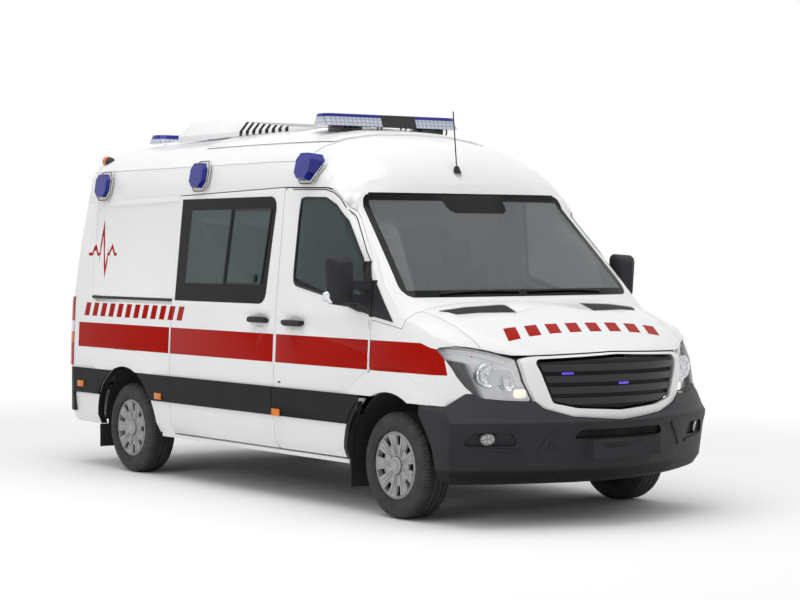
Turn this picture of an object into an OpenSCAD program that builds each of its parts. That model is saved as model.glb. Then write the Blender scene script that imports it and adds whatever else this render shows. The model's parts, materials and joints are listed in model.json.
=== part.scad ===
// High-roof panel van fitted out as an ambulance.
// Frame: X forward, Y left, Z up, origin on the ground under the middle of the vehicle.

/* [Overall] */
// Length over both bumpers
length = 5245; // [5200:5:5300]
// Distance between the two axles
wheelbase = 3250; // [3200:5:3300]
// From the front axle to the front of the bumper
front_overhang = 1010; // [990:5:1030]
// Body width at the widest line of the sides
body_w = 1993; // [1960:1:2020]
// Height of the roof's highest line
roof_h = 2420; // [2390:5:2470]
// Height of the sills' lower edge
sill_z = 320; // [300:5:335]
// Thickness of the body walls and doors
wall = 50; // [40:1:60]
// Thickness of the bonnet, wings and nose panels
panel = 26; // [20:1:32]
// Gap between panels
gap = 6; // [5:0.5:8]

/* [Wheels] */
// Outer radius of the tyres
tyre_r = 319; // [310:1:330]
// Width of the tyres
tyre_w = 212; // [195:1:225]
// From the middle of the vehicle to the middle of a tyre
half_track = 848; // [835:1:855]
// Outer radius of the wheel cover
cover_r = 203; // [198:1:210]
// Radius of the stub axle in the hub
stub_r = 25; // [20:1:30]
// Radius of the wheel arch cut in the body
arch_r = 438; // [425:1:445]
// Radius of the kingpin of a front knuckle
kingpin_r = 14; // [10:1:16]
// Windows round the edge of a wheel cover
cover_windows = 9; // [7:1:11]

/* [Doors] */
// Rear edge of the front doors, behind the front axle
door_rear = 1262; // [1240:1:1280]
// Front edge of the front doors, behind the front axle
door_front = 196; // [185:1:210]
// Width of the sliding door
slide_w = 1338; // [1310:1:1360]
// Height of the line where the walls meet the roof, over the front doors
eave_z = 1998; // [1985:1:2010]
// How far that line falls from the front doors to the tail
eave_fall = 65; // [40:1:80]
// Radius of the door hinge pins
hinge_r = 5; // [4:0.5:6]

/* [Glass] */
// Thickness of the panes
glass = 5; // [4:0.5:7]
// How far the panes lie below the outer skin
glass_set = 3; // [2:0.5:5]
// Height of the side windows' lower edge
window_low = 1245; // [1220:5:1270]
// Height of the side windows' upper edge
window_high = 1940; // [1910:5:1950]

/* [Trim] */
// Height of the rub strips' lower edge
strip_low = 540; // [525:1:560]
// Height of the rub strips' upper edge
strip_high = 722; // [700:1:740]
// How far the rub strips stand out of the sides
strip_out = 14; // [8:1:20]
// Width of the raised band round a wheel arch
flare_w = 138; // [120:1:150]
// How far that band stands out of the side
flare_out = 12; // [6:1:18]

/* [Beacons] */
// Length of the roof light bar
bar_l = 1110; // [1000:10:1200]
// Height of the light bar's lens
bar_h = 80; // [70:1:90]
// Length of a side beacon
beacon_l = 190; // [170:1:200]
// Height of a side beacon
beacon_h = 190; // [170:1:195]

/* [Hidden] */
$fn = 32;
fit = 0.05;                             // running clearance of a shaft in its bore
seat = 0.3;                             // gap between a piece and what it sits on
xf = length / 2 - front_overhang;       // front axle
xr = xf - wheelbase;                    // rear axle
half_w = body_w / 2;
rear_step = 100;                        // how far the rear bumper stands behind the doors
x_tail = -length / 2 + rear_step;       // rear face of the body
nose_x = xf + front_overhang - 47;      // front of the nose panel, behind the bumper's step
x_door = xf - door_rear;                // seam between front and sliding door
x_slide = x_door - slide_w;             // rear edge of the sliding door
x_hinge = xf - door_front - 14;         // front door hinge axis
y_hinge = half_w - 9;
x_rear_hinge = x_tail - 12;             // rear door hinge axis
y_rear_hinge = half_w - 200;
rear_door_low = 745;
cowl_x = xf + 110;                      // foot of the windscreen
cowl_z = 1296;
bonnet_axis = [cowl_x + 14, cowl_z - 8];
wide = 1400;                            // reach of the cutting prisms
floor_z = 600;                          // top of the floor
floor_t = 30;
rail_y = 430;                           // middle of a frame rail
rail_w = 80;
rail_low = 400;
lip_w = 34;                             // black lip of an arch below the flare
roof_seam = xf - 1130;                  // seam between the roof and its front cap
crease_z = 2165;                        // crease along the roof's sides
header_z = 1952;                        // seam between the roof cap and the windscreen frame
x_bar = [xf - 1415, x_tail + 522];      // middle of the front and rear light bars

// Body sides: height, inset from the widest line
SIDE = [
    [sill_z, 50], [390, 17], [520, 4], [640, 0], [900, 6], [1200, 20], [1600, 57], [2010, 99]
];
// Body sections from tail to nose: x, top height, corner height, corner power
SECTIONS = [
    [x_tail, roof_h - 118, 330, 2.5],
    [x_tail + 14, roof_h - 92, 340, 2.5],
    [x_tail + 45, roof_h - 70, 352, 2.5],
    [x_tail + 100, roof_h - 54, 362, 2.5],
    [x_tail + 320, roof_h - 38, 380, 2.5],
    [x_tail + 800, roof_h - 24, 390, 2.5],
    [xf - 1900, roof_h, 395, 2.5],
    [xf - 1500, roof_h - 20, 390, 2.5],
    [xf - 1200, roof_h - 58, 375, 2.5],
    [xf - 950, roof_h - 114, 350, 2.5],
    [xf - 800, roof_h - 174, 330, 2.5],
    [xf - 690, roof_h - 248, 305, 2.5],
    [xf - 610, roof_h - 328, 275, 2.5],
    [xf - 560, roof_h - 408, 250, 2.5],
    [xf - 536, 1951, 237, 2.5],
    [xf - 330, 1744, 220, 2.6],
    [xf - 110, 1522, 200, 2.7],
    [cowl_x, cowl_z, 170, 2.6],
    [xf + 250, 1266, 165, 2.5],
    [xf + 400, 1213, 165, 2.4],
    [xf + 540, 1158, 165, 2.3],
    [xf + 660, 1109, 162, 2.3],
    [xf + 760, 1064, 152, 2.3],
    [xf + 840, 1026, 135, 2.3],
    [xf + 905, 991, 107, 2.3],
    [xf + 946, 957, 75, 2.3],
    [nose_x, 925, 50, 2.3]
];
// Rear corners: distance from the tail, inset at the foot, more inset at the eave
TAIL = [[0, 62, 80], [14, 30, 74], [45, 10, 62], [100, 0, 44], [320, 0, 0]];
TAIL_RISE = [[1200, 0], [1500, 0.22], [1800, 0.62], [2010, 1]];
CORNER_STEPS = 6;
// The nose in plan follows x = nose_x - c (y / 1000) ^ p, fuller at the bumper: height, c, p
PLAN = [[600, 380, 1.7], [700, 395, 1.78], [800, 455, 2.05], [950, 517, 2.3]];

function plan_c(z) = lookup(z, [for (r = PLAN) [r[0], r[1]]]);
function plan_p(z) = lookup(z, [for (r = PLAN) [r[0], r[2]]]);
function side_half(z) = half_w - lookup(z, SIDE);
function tail_inset(x, z) =
    lookup(x - x_tail, [for (r = TAIL) [r[0], r[1] + r[2] * lookup(z, TAIL_RISE)]]);
function eave_at(x) = eave_z - eave_fall * (x_door - min(x, x_door)) / (x_door - x_tail);
function nose_half(x, z) = 1000 * pow(max(nose_x - x, 0.4) / plan_c(z), 1 / plan_p(z));
function nose_share(x, z) = min(1, nose_half(x, z) / (half_w - 5));
function section_at(x, column) = lookup(x, [for (s = SECTIONS) [s[0], s[column]]]);
// Height of the body's upper side at a place in plan
function skin_z(x, y) =
    let (
        eave = section_at(x, 1) - section_at(x, 2),
        power = section_at(x, 3),
        half = side_half(eave) * nose_share(x, eave) - tail_inset(x, eave)
    )
    eave + section_at(x, 2) * pow(1 - pow(min(abs(y) / half, 1), power), 1 / power);
function top_at(x) = lookup(x, [for (s = SECTIONS) [s[0], s[1]]]);
// Half section of the body at a row of the table, moved inwards by t
function half_section(s, t) =
    let (
        eave = s[1] - s[2],
        low = [for (r = SIDE) if (r[0] < eave) r[0]],
        half = function (z) max(side_half(z) * nose_share(s[0], z) - tail_inset(s[0], z) - t, 4)
    )
    concat(
        [for (z = low) [half(z), z]],
        [for (i = [0:CORNER_STEPS])
            let (a = 90 * i / CORNER_STEPS)
            [half(eave) * pow(cos(a), 2 / s[3]), eave + (s[2] - t) * pow(sin(a), 2 / s[3])]]
    );
function full_section(s, t) =
    let (h = half_section(s, t), n = len(h))
    concat(h, [for (i = [n - 2:-1:0]) [-h[i][0], h[i][1]]]);
function inner_x(i, t) =
    i == 0 ? SECTIONS[0][0] + t : i == len(SECTIONS) - 1 ? nose_x - t : SECTIONS[i][0];

// Points of a section in space
function section_points(i, t) = [for (p = full_section(SECTIONS[i], t)) [inner_x(i, t), p[0], p[1]]];
// Convex form round a cloud of points
module wrap(points) {
    hull()
        polyhedron(points, [[for (i = [0:len(points) - 1]) i]]);
}
// Closed form of the body, moved inwards by t
module body_form(t) {
    stations = [for (i = [0:len(SECTIONS) - 1])
        if (i == 0 || i == len(SECTIONS) - 1
            || (SECTIONS[i][0] > x_tail + t + 1 && SECTIONS[i][0] < nose_x - t - 1)) i];
    for (k = [0:len(stations) - 2])
        wrap(concat(section_points(stations[k], t), section_points(stations[k + 1], t)));
}
// Front of the body from the windscreen's foot on, drawn back by t
module nose_form(t) {
    first = search([cowl_x], [for (r = SECTIONS) r[0]])[0];
    translate([-t, 0, 0])
        scale([1, 1 - t / half_w, 1])
            for (k = [first:len(SECTIONS) - 2])
                wrap(concat(section_points(k, 0), section_points(k + 1, 0)));
}
// Skin of the nose between two depths, inside a drawing in front view
module nose_skin(outer, inner) {
    intersection() {
        difference() {
            nose_form(outer);
            nose_form(inner);
        }
        from_front(xf + 380, nose_x + 10)
            children();
    }
}
// Skin of the body between two depths
module skin(outer, inner) {
    difference() {
        body_form(outer);
        body_form(inner);
    }
}
// Extrusions of a drawing: along Y on one side, along X and along Z
module from_side(side, y0 = 200, y1 = wide) {
    translate([0, side > 0 ? y1 : -y0, 0])
        rotate([90, 0, 0])
            linear_extrude(y1 - y0)
                children();
}
module from_front(x0, x1) {
    translate([x0, 0, 0])
        rotate([90, 0, 90])
            linear_extrude(x1 - x0)
                children();
}
module from_above(z0, z1) {
    translate([0, 0, z0])
        linear_extrude(z1 - z0)
            children();
}
module rounded(r) {
    offset(r, $fn = 12)
        offset(-r, $fn = 12)
            children();
}
module box(x, y, z) {
    translate([x[0], y[0], z[0]])
        cube([x[1] - x[0], y[1] - y[0], z[1] - z[0]]);
}
module cross_cylinder(x, z, r, y0, y1) {
    translate([x, y0, z])
        rotate([-90, 0, 0])
            cylinder(r = r, h = y1 - y0);
}
module both_sides() {
    children();
    mirror([0, 1, 0])
        children();
}

// Outlines of doors and windows in side view
module front_door_outline() {
    rounded(40)
        polygon([
            [x_door + gap / 2, sill_z + 8], [xf - 300, sill_z + 8], [xf - 300, 705],
            [xf - door_front - 40, 800], [xf - door_front, 900], [xf - door_front, 1380],
            [xf - 258, 1535], [xf - 490, 1790], [xf - 630, eave_z - 80], [xf - 715, eave_z - 38],
            [xf - 800, eave_z - 20], [x_door + gap / 2, eave_z - 8]
        ]);
}
module front_window_outline() {
    rounded(50)
        polygon([
            [x_door + 172, window_low + 128], [xf - 651, window_low + 55], [xf - 337, window_low - 23],
            [xf - 270, window_low - 23], [xf - 250, 1330], [xf - 320, 1540], [xf - 525, 1775],
            [xf - 660, window_high - 64], [xf - 780, window_high - 16], [x_door + 188, window_high - 8]
        ]);
}
module sliding_door_outline() {
    polygon([
        [x_slide, sill_z + 8], [x_door - gap / 2, sill_z + 8],
        [x_door - gap / 2, eave_at(x_door) - gap], [x_slide, eave_at(x_slide) - gap]
    ]);
}
module side_window_outline() {
    intersection() {
        rounded(75)
            polygon([
                [x_slide - 200, window_low], [x_door - 138, window_low], [x_door - 78, window_high],
                [x_slide - 200, window_high]
            ]);
        polygon([
            [x_slide + 20, 0], [x_slide + 40, 2500], [x_door, 2500], [x_door, 0]
        ]);
    }
}
module rear_recess_outline() {
    back = x_tail + 330;
    front = x_slide + 400;
    rounded(60)
        polygon([
            [back, window_low + 25], [front, window_low + 25], [front, eave_at(front) - 40], [back, eave_at(back) - 40]
        ]);
}
module windscreen_outline() {
    rounded(60)
        polygon([[-893, 1312], [893, 1312], [782, header_z - 7], [-782, header_z - 7]]);
}
// Outlines of the nose in front view
module headlamp_half() {
    rounded(10)
        polygon([
            [545, 729], [672, 734], [784, 747], [847, 771], [880, 813], [911, 876], [938, 961], [962, 1030],
            [890, 1042], [826, 1035], [731, 1010], [620, 968], [594, 843]
        ]);
}
module headlamp_outline() {
    headlamp_half();
    mirror([1, 0])
        headlamp_half();
}
module grille_outline(grow = 0) {
    offset(grow)
        rounded(24)
            polygon([[-540, 964], [-446, 724], [-300, 692], [0, 674], [300, 692], [446, 724], [540, 964], [0, 985]]);
}
module nose_outline() {
    difference() {
        rounded(30)
            polygon([
                [-624, 968], [-598, 843], [-550, 735], [-500, 690], [-330, 640], [0, 612],
                [330, 640], [500, 690], [550, 735], [598, 843], [624, 968], [545, 984], [0, 1000], [-545, 984]
            ]);
        offset(3)
            headlamp_outline();
    }
}
// Lower edge of the bonnet in front view
module above_nose() {
    polygon([
        [-1100, 1045], [-880, 1043], [-640, 993], [-545, 993], [0, 1008], [545, 993], [640, 993], [880, 1043],
        [1100, 1045], [1100, 1500], [-1100, 1500]
    ]);
}
// Bonnet in plan
module bonnet_outline(grow = 0) {
    offset(grow)
        polygon([
            [cowl_x + 14, -830], [xf + 620, -775], [xf + 800, -640], [xf + 1000, -560],
            [xf + 1000, 560], [xf + 800, 640], [xf + 620, 775], [cowl_x + 14, 830]
        ]);
}
module wheel_arch(x, r, y0 = 300) {
    both_sides()
        cross_cylinder(x, tyre_r, r, y0, wide, $fn = 48);
}
// Raised band round a wheel arch, standing out of the skin
module flare(x) {
    intersection() {
        skin(-flare_out, 20);
        both_sides()
            from_side(1, 600, wide)
                difference() {
                    translate([x, tyre_r])
                        circle(arch_r + flare_w, $fn = 48);
                    translate([x, tyre_r])
                        circle(arch_r - 20, $fn = 48);
                    translate([x - 700, 0])
                        square([700 + (x > 0 ? 0 : 700), strip_high + 2]);
                    translate([x - 10, 0])
                        square([710, wing_low]);
                }
    }
}
// Space above the rub strips round a front arch
module flare_zone(grow) {
    intersection() {
        wheel_arch(xf, arch_r + grow, 600);
        box([xf - 900, xf + 900], [-wide, wide], [strip_high - 20, 2000]);
    }
}

// Body shell: walls, roof, cab frame, wings and fixed panels
module side_wall(side) {
    difference() {
        union() {
            intersection() {
                skin(0, wall);
                from_side(side, 560)
                    polygon([
                        [x_tail - 10, sill_z], [x_door - gap / 2, sill_z],
                        [x_door - gap / 2, eave_at(x_door)], [x_tail - 10, eave_at(x_tail - 10)]
                    ]);
            }
            intersection() {
                flare(xr);
                from_side(side)
                    translate([xr - 900, 0])
                        square([1500, 1500]);
            }
            from_side(side, half_w - wall - 60, half_w - wall - 5)
                polygon([
                    [xr + arch_r + 20, sill_z - 28], [xf - arch_r - 40, sill_z - 28],
                    [xf - arch_r - 40, sill_z - 4], [x_slide - 20, sill_z - 4],
                    [x_slide - 20, sill_z + 40], [xr + arch_r + 20, sill_z + 40]
                ]);
        }
        rear_opening();
        wheel_arch(xr, arch_r);
        intersection() {
            skin(-1, 7);
            from_side(side)
                rear_recess_outline();
        }
    }
}
// Opening for the rear doors
module rear_opening() {
    translate([x_tail - 50, -y_rear_hinge, rear_door_low - gap])
        cube([50 + wall + 6, 2 * y_rear_hinge, eave_at(x_tail) - rear_door_low + 2 * gap]);
}
module body_side_l() {
    color("white")
        side_wall(1);
}
module body_side_r() {
    color("white")
        difference() {
            side_wall(-1);
            from_side(-1)
                translate([x_slide - gap, sill_z + seat])
                    square([slide_w + 2 * gap, eave_z]);
            intersection() {
                skin(-1, 22);
                from_side(-1)
                    translate([x_tail + 400, window_low - 30])
                        square([x_slide - x_tail - 400, 42]);
            }
        }
}
module sliding_door() {
    color("white")
        difference() {
            intersection() {
                skin(0, wall);
                from_side(-1)
                    sliding_door_outline();
            }
            from_side(-1)
                side_window_outline();
            wheel_arch(xr, arch_r + gap);
            handle_cup(-1, slide_handle);
        }
}
// Hollow behind a door handle
module handle_cup(side, p) {
    translate([p[0], side * (side_half(p[1]) + 12), p[1]])
        scale([1.5, 0.5, 1])
            sphere(54, $fn = 14);
}
slide_handle = [x_door - 184, 1141];    // middle of the sliding door's handle
door_handle_at = [x_door + 230, 1138];  // middle of a front door's handle
module roof() {
    color("white")
        difference() {
            union() {
                roof_shell();
                intersection() {
                    body_form(-6);
                    box([x_tail + 60, roof_seam], [-wide, wide], [crease_z, 3000]);
                    roof_shell(-6);
                }
                intersection() {
                    body_form(-14);
                    box([roof_seam - 1400, roof_seam], [-wide, wide], [crease_z + 130, 3000]);
                    roof_shell(-14);
                }
            }
            box([roof_seam - gap / 2, nose_x], [-wide, wide], [0, 3000]);
            rear_opening();
        }
}
// Roof with its front, its skin moved outwards where t is negative
module roof_shell(t = 0) {
    intersection() {
        skin(t, wall);
        from_side(1, -wide)
            polygon([
                [x_tail - 30, eave_at(x_tail - 30) + seat], [x_door, eave_z + seat], [xf - 800, eave_z - 11],
                [xf - 690, eave_z - 26], [xf - 610, header_z], [xf - 400, header_z], [xf - 400, 2600], [x_tail - 30, 2600]
            ]);
    }
}
module roof_cap() {
    color("white")
        difference() {
            roof_shell();
            box([x_tail - 100, roof_seam + gap / 2], [-wide, wide], [0, 3000]);
        }
}
module cab_frame() {
    color("white")
        difference() {
            intersection() {
                skin(0, wall);
                from_side(1, -wide)
                    polygon([
                        [xf - 735, eave_z - 20 - seat], [xf - 690, eave_z - 26 - seat], [xf - 610, header_z - seat],
                        [xf - 500, header_z - seat], [xf - 400, 1915],
                        [cowl_x + 8, cowl_z - 10], [cowl_x + 8, cowl_z - 160], [xf - door_front + gap, 1180],
                        [xf - door_front + gap, 1330], [xf - 300, 1560], [xf - 530, 1815], [xf - 735, eave_z - 50]
                    ]);
            }
            for (side = [-1, 1])
                from_side(side)
                    offset(gap)
                        front_door_outline();
            from_front(xf - 720, xf + 400) {
                windscreen_outline();
                translate([-740, 1600])
                    square([1480, 500]);
            }
        }
}
module front_wings() {
    color("white")
        difference() {
            union() {
                difference() {
                    intersection() {
                        skin(0, panel);
                        both_sides()
                            from_side(1, 350)
                                polygon([
                                    [xf - door_front + gap, 800], [xf + 300, wing_low], [xf + 546, wing_low], [xf + 612, 776],
                                    [xf + 900, 776], [xf + 900, 1400], [cowl_x + 16, 1400], [cowl_x + 16, cowl_z - 165],
                                    [xf - door_front + gap, 1175]
                                ]);
                    }
                    for (side = [-1, 1])
                        from_side(side)
                            offset(gap)
                                front_door_outline();
                }
                flare(xf);
            }
            wheel_arch(xf, arch_r);
            from_above(700, 1500)
                bonnet_outline(gap);
            from_front(xf, nose_x + 10)
                offset(delta = 4)
                    headlamp_outline();
            from_front(xf, nose_x + 10)
                offset(delta = 4)
                    nose_outline();
            from_front(xf + 430, nose_x + 10)
                polygon([[-720, 600], [720, 600], [720, 1100], [-720, 1100]]);
            hinge_pins(hinge_r + seat);
        }
}
module bonnet() {
    color("white")
        difference() {
            intersection() {
                skin(0, panel);
                from_above(800, 1500)
                    bonnet_outline();
                from_front(cowl_x, nose_x + 10)
                    above_nose();
            }
            from_front(xf + 380, nose_x + 10)
                offset(delta = gap)
                    headlamp_outline();
            hinge_pins(hinge_r + seat);
            from_above(1000, 1500)
                vent_outline();
        }
}
// Bonnet vents in plan
module vent_outline() {
    for (side = [-1, 1])
        scale([1, side])
            rounded(14)
                polygon([
                    [cowl_x + 70, 772], [cowl_x + 105, 288], [cowl_x + 250, 298], [cowl_x + 180, 702]
                ]);
}
module bonnet_vents() {
    color("black")
        intersection() {
            skin(5, 14);
            from_above(1000, 1500)
                offset(-seat)
                    vent_outline();
        }
}
module nose_panel() {
    color("white")
        nose_skin(0, panel)
            difference() {
                nose_outline();
                grille_outline(6);
            }
}
// Strip that follows the nose in plan at a height, between two depths and out to a half width
module nose_strip(z, outer, inner, half) {
    line = function (d) [for (i = [-6:6])
        let (y = half * i / 6)
        [nose_x - d - plan_c(z) * pow(abs(y) / 1000, plan_p(z)), y]];
    back = line(inner);
    polygon(concat(line(outer), [for (i = [len(back) - 1:-1:0]) back[i]]));
}
module grille() {
    color("dimgray") {
        intersection() {
            union() {
                from_above(660, 1000)
                    nose_strip(830, 34, 46, 560);
                for (k = [0:3])
                    from_above(899 - 64 * k, 939 - 64 * k)
                        nose_strip(919 - 64 * k, 12, 36, 560);
            }
            from_front(xf + 500, nose_x)
                polygon([[-520, 950], [-438, 730], [-300, 698], [0, 680], [300, 698], [438, 730], [520, 950], [0, 972]]);
        }
        intersection() {
            difference() {
                bumper_form(32 + seat);
                bumper_form(42);
            }
            from_front(xf + 500, nose_x + 200)
                translate([-370, 500])
                    square([740, 80]);
        }
    }
}
module headlamp_housings() {
    color("silver")
        nose_skin(36, 90)
            headlamp_outline();
}
// Clear lenses of the headlamps, and of the fog lamps in their pockets
module front_lenses() {
    color("whitesmoke") {
        nose_skin(1, 7)
            headlamp_outline();
        both_sides()
            intersection() {
                difference() {
                    bumper_form(8);
                    bumper_form(fog_depth - seat);
                }
                from_front(xf + 300, nose_x + 200)
                    translate([805, 518])
                        scale([1.2, 1])
                            circle(32);
            }
    }
}
fog_depth = 22;

wing_low = 704;                         // lower edge of the wings, above the bumper
// Bumper sections: height, front from the axle, half width
BUMPER = [
    [248, 850, 905], [272, 918, 950], [330, 962, 975], [520, 990, 990], [575, 1006, 996],
    [606, 1010, 997], [640, 986, 992], [790, 962, 984]
];
corner_ease = 20;                       // how far the bumper's corners are eased back
function bumper_outline(r, t) =
    let (
        w = min(r[2], half_w) - t,
        front = xf + front_overhang - 1010 + r[1] - t
    )
    [for (i = [-6:6])
        let (y = w * sin(90 * i / 6))
        [front - plan_c(r[0]) * pow(abs(y) / 1000, plan_p(r[0])) - corner_ease * pow(abs(y) / w, 12), y]];
function bumper_points(i, t) =
    let (r = BUMPER[i], w = min(r[2], half_w) - t, z = r[0] + (i == 0 ? t : 0))
    [for (p = concat([[xf + 250, -w]], bumper_outline(r, t), [[xf + 250, w]])) [p[0], p[1], z]];
module bumper_form(t) {
    for (i = [0:len(BUMPER) - 2])
        wrap(concat(bumper_points(i, t), bumper_points(i + 1, t)));
}
module fog_recess() {
    rounded(20)
        polygon([[640, 478], [690, 556], [880, 556], [945, 478]]);
}
module front_bumper() {
    color("dimgray")
        difference() {
            union() {
                bumper_form(0);
                box(
                    [plate_x - 60, plate_x],
                    [-plate_size[0] / 2, plate_size[0] / 2],
                    [plate_z - plate_size[1] / 2, plate_z + plate_size[1] / 2]
                );
            }
            translate([-0.1, 0, 0.1])
                bumper_form(32);
            box([xf - 100, xf + 300], [-wide, wide], [0, 900]);
            wheel_arch(xf, arch_r + 4);
            from_front(xf + 200, nose_x + 200)
                offset(4)
                    nose_outline();
            from_front(xf + 200, nose_x + 200)
                offset(4)
                    headlamp_outline();
            from_front(xf + 200, nose_x + 200)
                polygon([
                    [-1100, 772], [-845, 772], [-560, 735], [560, 735], [845, 772], [1100, 772], [1100, 900], [-1100, 900]
                ]);
            from_side(1, -wide)
                polygon([
                    [xf, wing_low - gap], [xf + 549, wing_low - gap], [xf + 618, 776], [xf + 618, 900], [xf, 900]
                ]);
            from_front(xf + 500, nose_x + 200)
                rounded(14)
                    polygon([[-350, 512], [-300, 566], [300, 566], [350, 512]]);
            intersection() {
                difference() {
                    bumper_form(-5);
                    bumper_form(fog_depth);
                }
                from_front(xf + 300, nose_x + 200) {
                    fog_recess();
                    mirror([1, 0])
                        fog_recess();
                }
            }
        }
}
// Flat holder for a number plate, on the bumper's pad
plate_x = xf + front_overhang - 18;     // front of the pad
plate_z = 452;
plate_size = [520, 112];
plate_t = 12;
plate_hole_r = 3.5;
plate_holes = 300;                      // distance between the two screw holes
module plate_holder() {
    color("black")
        difference() {
            box(
                [plate_x + seat, plate_x + plate_t],
                [-plate_size[0] / 2, plate_size[0] / 2],
                [plate_z - plate_size[1] / 2, plate_z + plate_size[1] / 2]
            );
            for (side = [-1, 1])
                translate([plate_x - 10, side * plate_holes / 2, plate_z])
                    rotate([0, 90, 0])
                        cylinder(r = plate_hole_r, h = 40);
        }
}
module rear_bumper() {
    out = half_w + strip_out - 2;
    color("dimgray")
        difference() {
            union() {
                box([-length / 2, x_tail + 40], [-out + rear_round, out - rear_round], [470, strip_high]);
                both_sides()
                    intersection() {
                        box([-length / 2, x_tail + rear_wrap], [out - rear_round - 20, out], [400, strip_high]);
                        translate([-length / 2 + rear_round, out - rear_round, 0])
                            union() {
                                cylinder(r = rear_round, h = 1000, $fn = 48);
                                translate([0, -100, 0])
                                    cube([200, 100 + rear_round, 1000]);
                                translate([-rear_round, -100, 0])
                                    cube([rear_round + 1, 100, 1000]);
                            }
                    }
            }
            body_form(-seat);
        }
}
rear_wrap = 130;                        // how far the rear bumper reaches forward round the corner
rear_round = 250;                       // radius of the rear bumper's corners
module tail_lamps() {
    color("firebrick")
        both_sides()
            intersection() {
                skin(-10, -seat);
                from_side(1, 300)
                    translate([x_tail - 30, strip_high + 12])
                        square([120, 510]);
                box([x_tail - 60, x_tail + 200], [y_rear_hinge + 2 * hinge_r + 20, wide], [0, 2000]);
            }
}

// Glass
module pane() {
    intersection() {
        skin(glass_set, glass_set + glass);
        children();
    }
}
module fixed_glass() {
    color("slategray", 0.5)
        union() {
            pane()
                from_front(xf - 700, xf + 400)
                    offset(-1)
                        windscreen_outline();
            pane()
                from_side(-1)
                    offset(-seat)
                        side_window_outline();
        }
}
module door_glass(side) {
    color("slategray", 0.5)
        pane()
            from_side(side)
                offset(-seat)
                    front_window_outline();
}
module rear_window_outline(side) {
    rounded(45)
        translate([side > 0 ? 130 : -130 - 560, window_low + 20])
            square([560, eave_at(x_tail) - window_low - 68]);
}
module rear_glass(side) {
    color("slategray", 0.5)
        translate([x_tail + glass_set, 0, 0])
            from_front(0, glass)
                offset(-seat)
                    rear_window_outline(side);
}

// Moving panels
module front_door(side) {
    color("white")
        difference() {
            intersection() {
                skin(0, wall);
                from_side(side)
                    front_door_outline();
            }
            from_side(side)
                front_window_outline();
            wheel_arch(xf, arch_r + lip_w + gap);
            flare_zone(flare_w + gap);
            hinge_pins(hinge_r + seat);
            handle_cup(side, door_handle_at);
        }
}
module rear_door(side) {
    color("white")
        difference() {
            intersection() {
                skin(0, wall);
                translate([x_tail - 10, side > 0 ? gap / 2 : -y_rear_hinge + gap, rear_door_low])
                    cube([10 + wall, y_rear_hinge - 1.5 * gap, eave_at(x_tail) - rear_door_low]);
            }
            from_front(x_tail - 20, x_tail + 100)
                rear_window_outline(side);
            hinge_pins(hinge_r + seat);
        }
}
// Hinge pins: front doors, rear doors and bonnet
module hinge_pins(r) {
    both_sides() {
        for (z = [920, 1120])
            translate([x_hinge, y_hinge, z])
                cylinder(r = r, h = 60);
        translate([bonnet_axis[0], 80, bonnet_axis[1]])
            rotate([-90, 0, 0])
                cylinder(r = r, h = 60);
    }
}
module rear_hinge_barrels() {
    both_sides()
        for (z = [860, 1250, 1640]) {
            translate([x_rear_hinge, y_rear_hinge, z])
                cylinder(r = 1.6 * hinge_r, h = 70);
            box([x_rear_hinge, x_tail - seat], [y_rear_hinge, y_rear_hinge + 2 * hinge_r + 16], [z, z + 70]);
        }
}
module hinges() {
    color("gray") {
        hinge_pins(hinge_r);
        rear_hinge_barrels();
    }
}
// Mirror housing, door handle and rub strip of a front door
module door_trim(side) {
    color("dimgray")
        mirror([0, side > 0 ? 0 : 1, 0])
            difference() {
                union() {
                    rub_strip(x_door + gap / 2, xf - 300);
                    door_handle(door_handle_at);
                    mirror_housing();
                    mirror_sail();
                    marker(xf - 1206, 562, half_w + 2);
                }
                wheel_arch(xf, arch_r + lip_w + gap);
                body_form(-seat);
            }
}
module rub_strip(x0, x1) {
    intersection() {
        skin(-strip_out, -seat);
        from_side(1, 600)
            polygon([[x0, strip_low], [x1, strip_low], [x1, strip_high], [x0, strip_high]]);
    }
}
module door_handle(p) {
    y = side_half(p[1]) - 8;
    hull()
        for (s = [-1, 1])
            translate([p[0] + 92 * s, y + 30, p[1]])
                rotate([0, 90, 0])
                    cylinder(r = 15, h = 34, center = true, $fn = 12);
    for (s = [-1, 1])
        box([p[0] + 92 * s - 14, p[0] + 92 * s + 14], [y, y + 30], [p[1] - 11, p[1] + 11]);
}
module mirror_housing() {
    foot_y = side_half(1300) - 12;
    hull()
        for (p = MIRROR)
            translate([xf - 322 + p[0], half_w + p[1], p[2]])
                scale([1, 0.55, 1])
                    sphere(p[3], $fn = 10);
    for (z = [1268, 1352])
        hull() {
            translate([xf - 300, foot_y, z])
                cube([85, 3, 58]);
            translate([xf - 330, half_w + 50, z + 12])
                cube([70, 40, 50]);
        }
}
// Black panel in the front corner of a door's window, under the mirror's arm
module mirror_sail() {
    intersection() {
        skin(-5, -seat);
        from_side(1, 600)
            polygon([
                [xf - 350, window_low - 13], [xf - door_front - 4, window_low - 40], [xf - door_front - 4, 1398],
                [xf - 275, 1530]
            ]);
    }
}
// Corners of a mirror's housing: x, y from the body's side, z, radius
MIRROR = [
    [0, 70, 1290, 36], [0, 188, 1314, 42], [0, 68, 1526, 42], [0, 198, 1512, 48],
    [42, 78, 1304, 28], [42, 164, 1326, 28], [42, 78, 1510, 28], [42, 166, 1498, 28]
];

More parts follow.
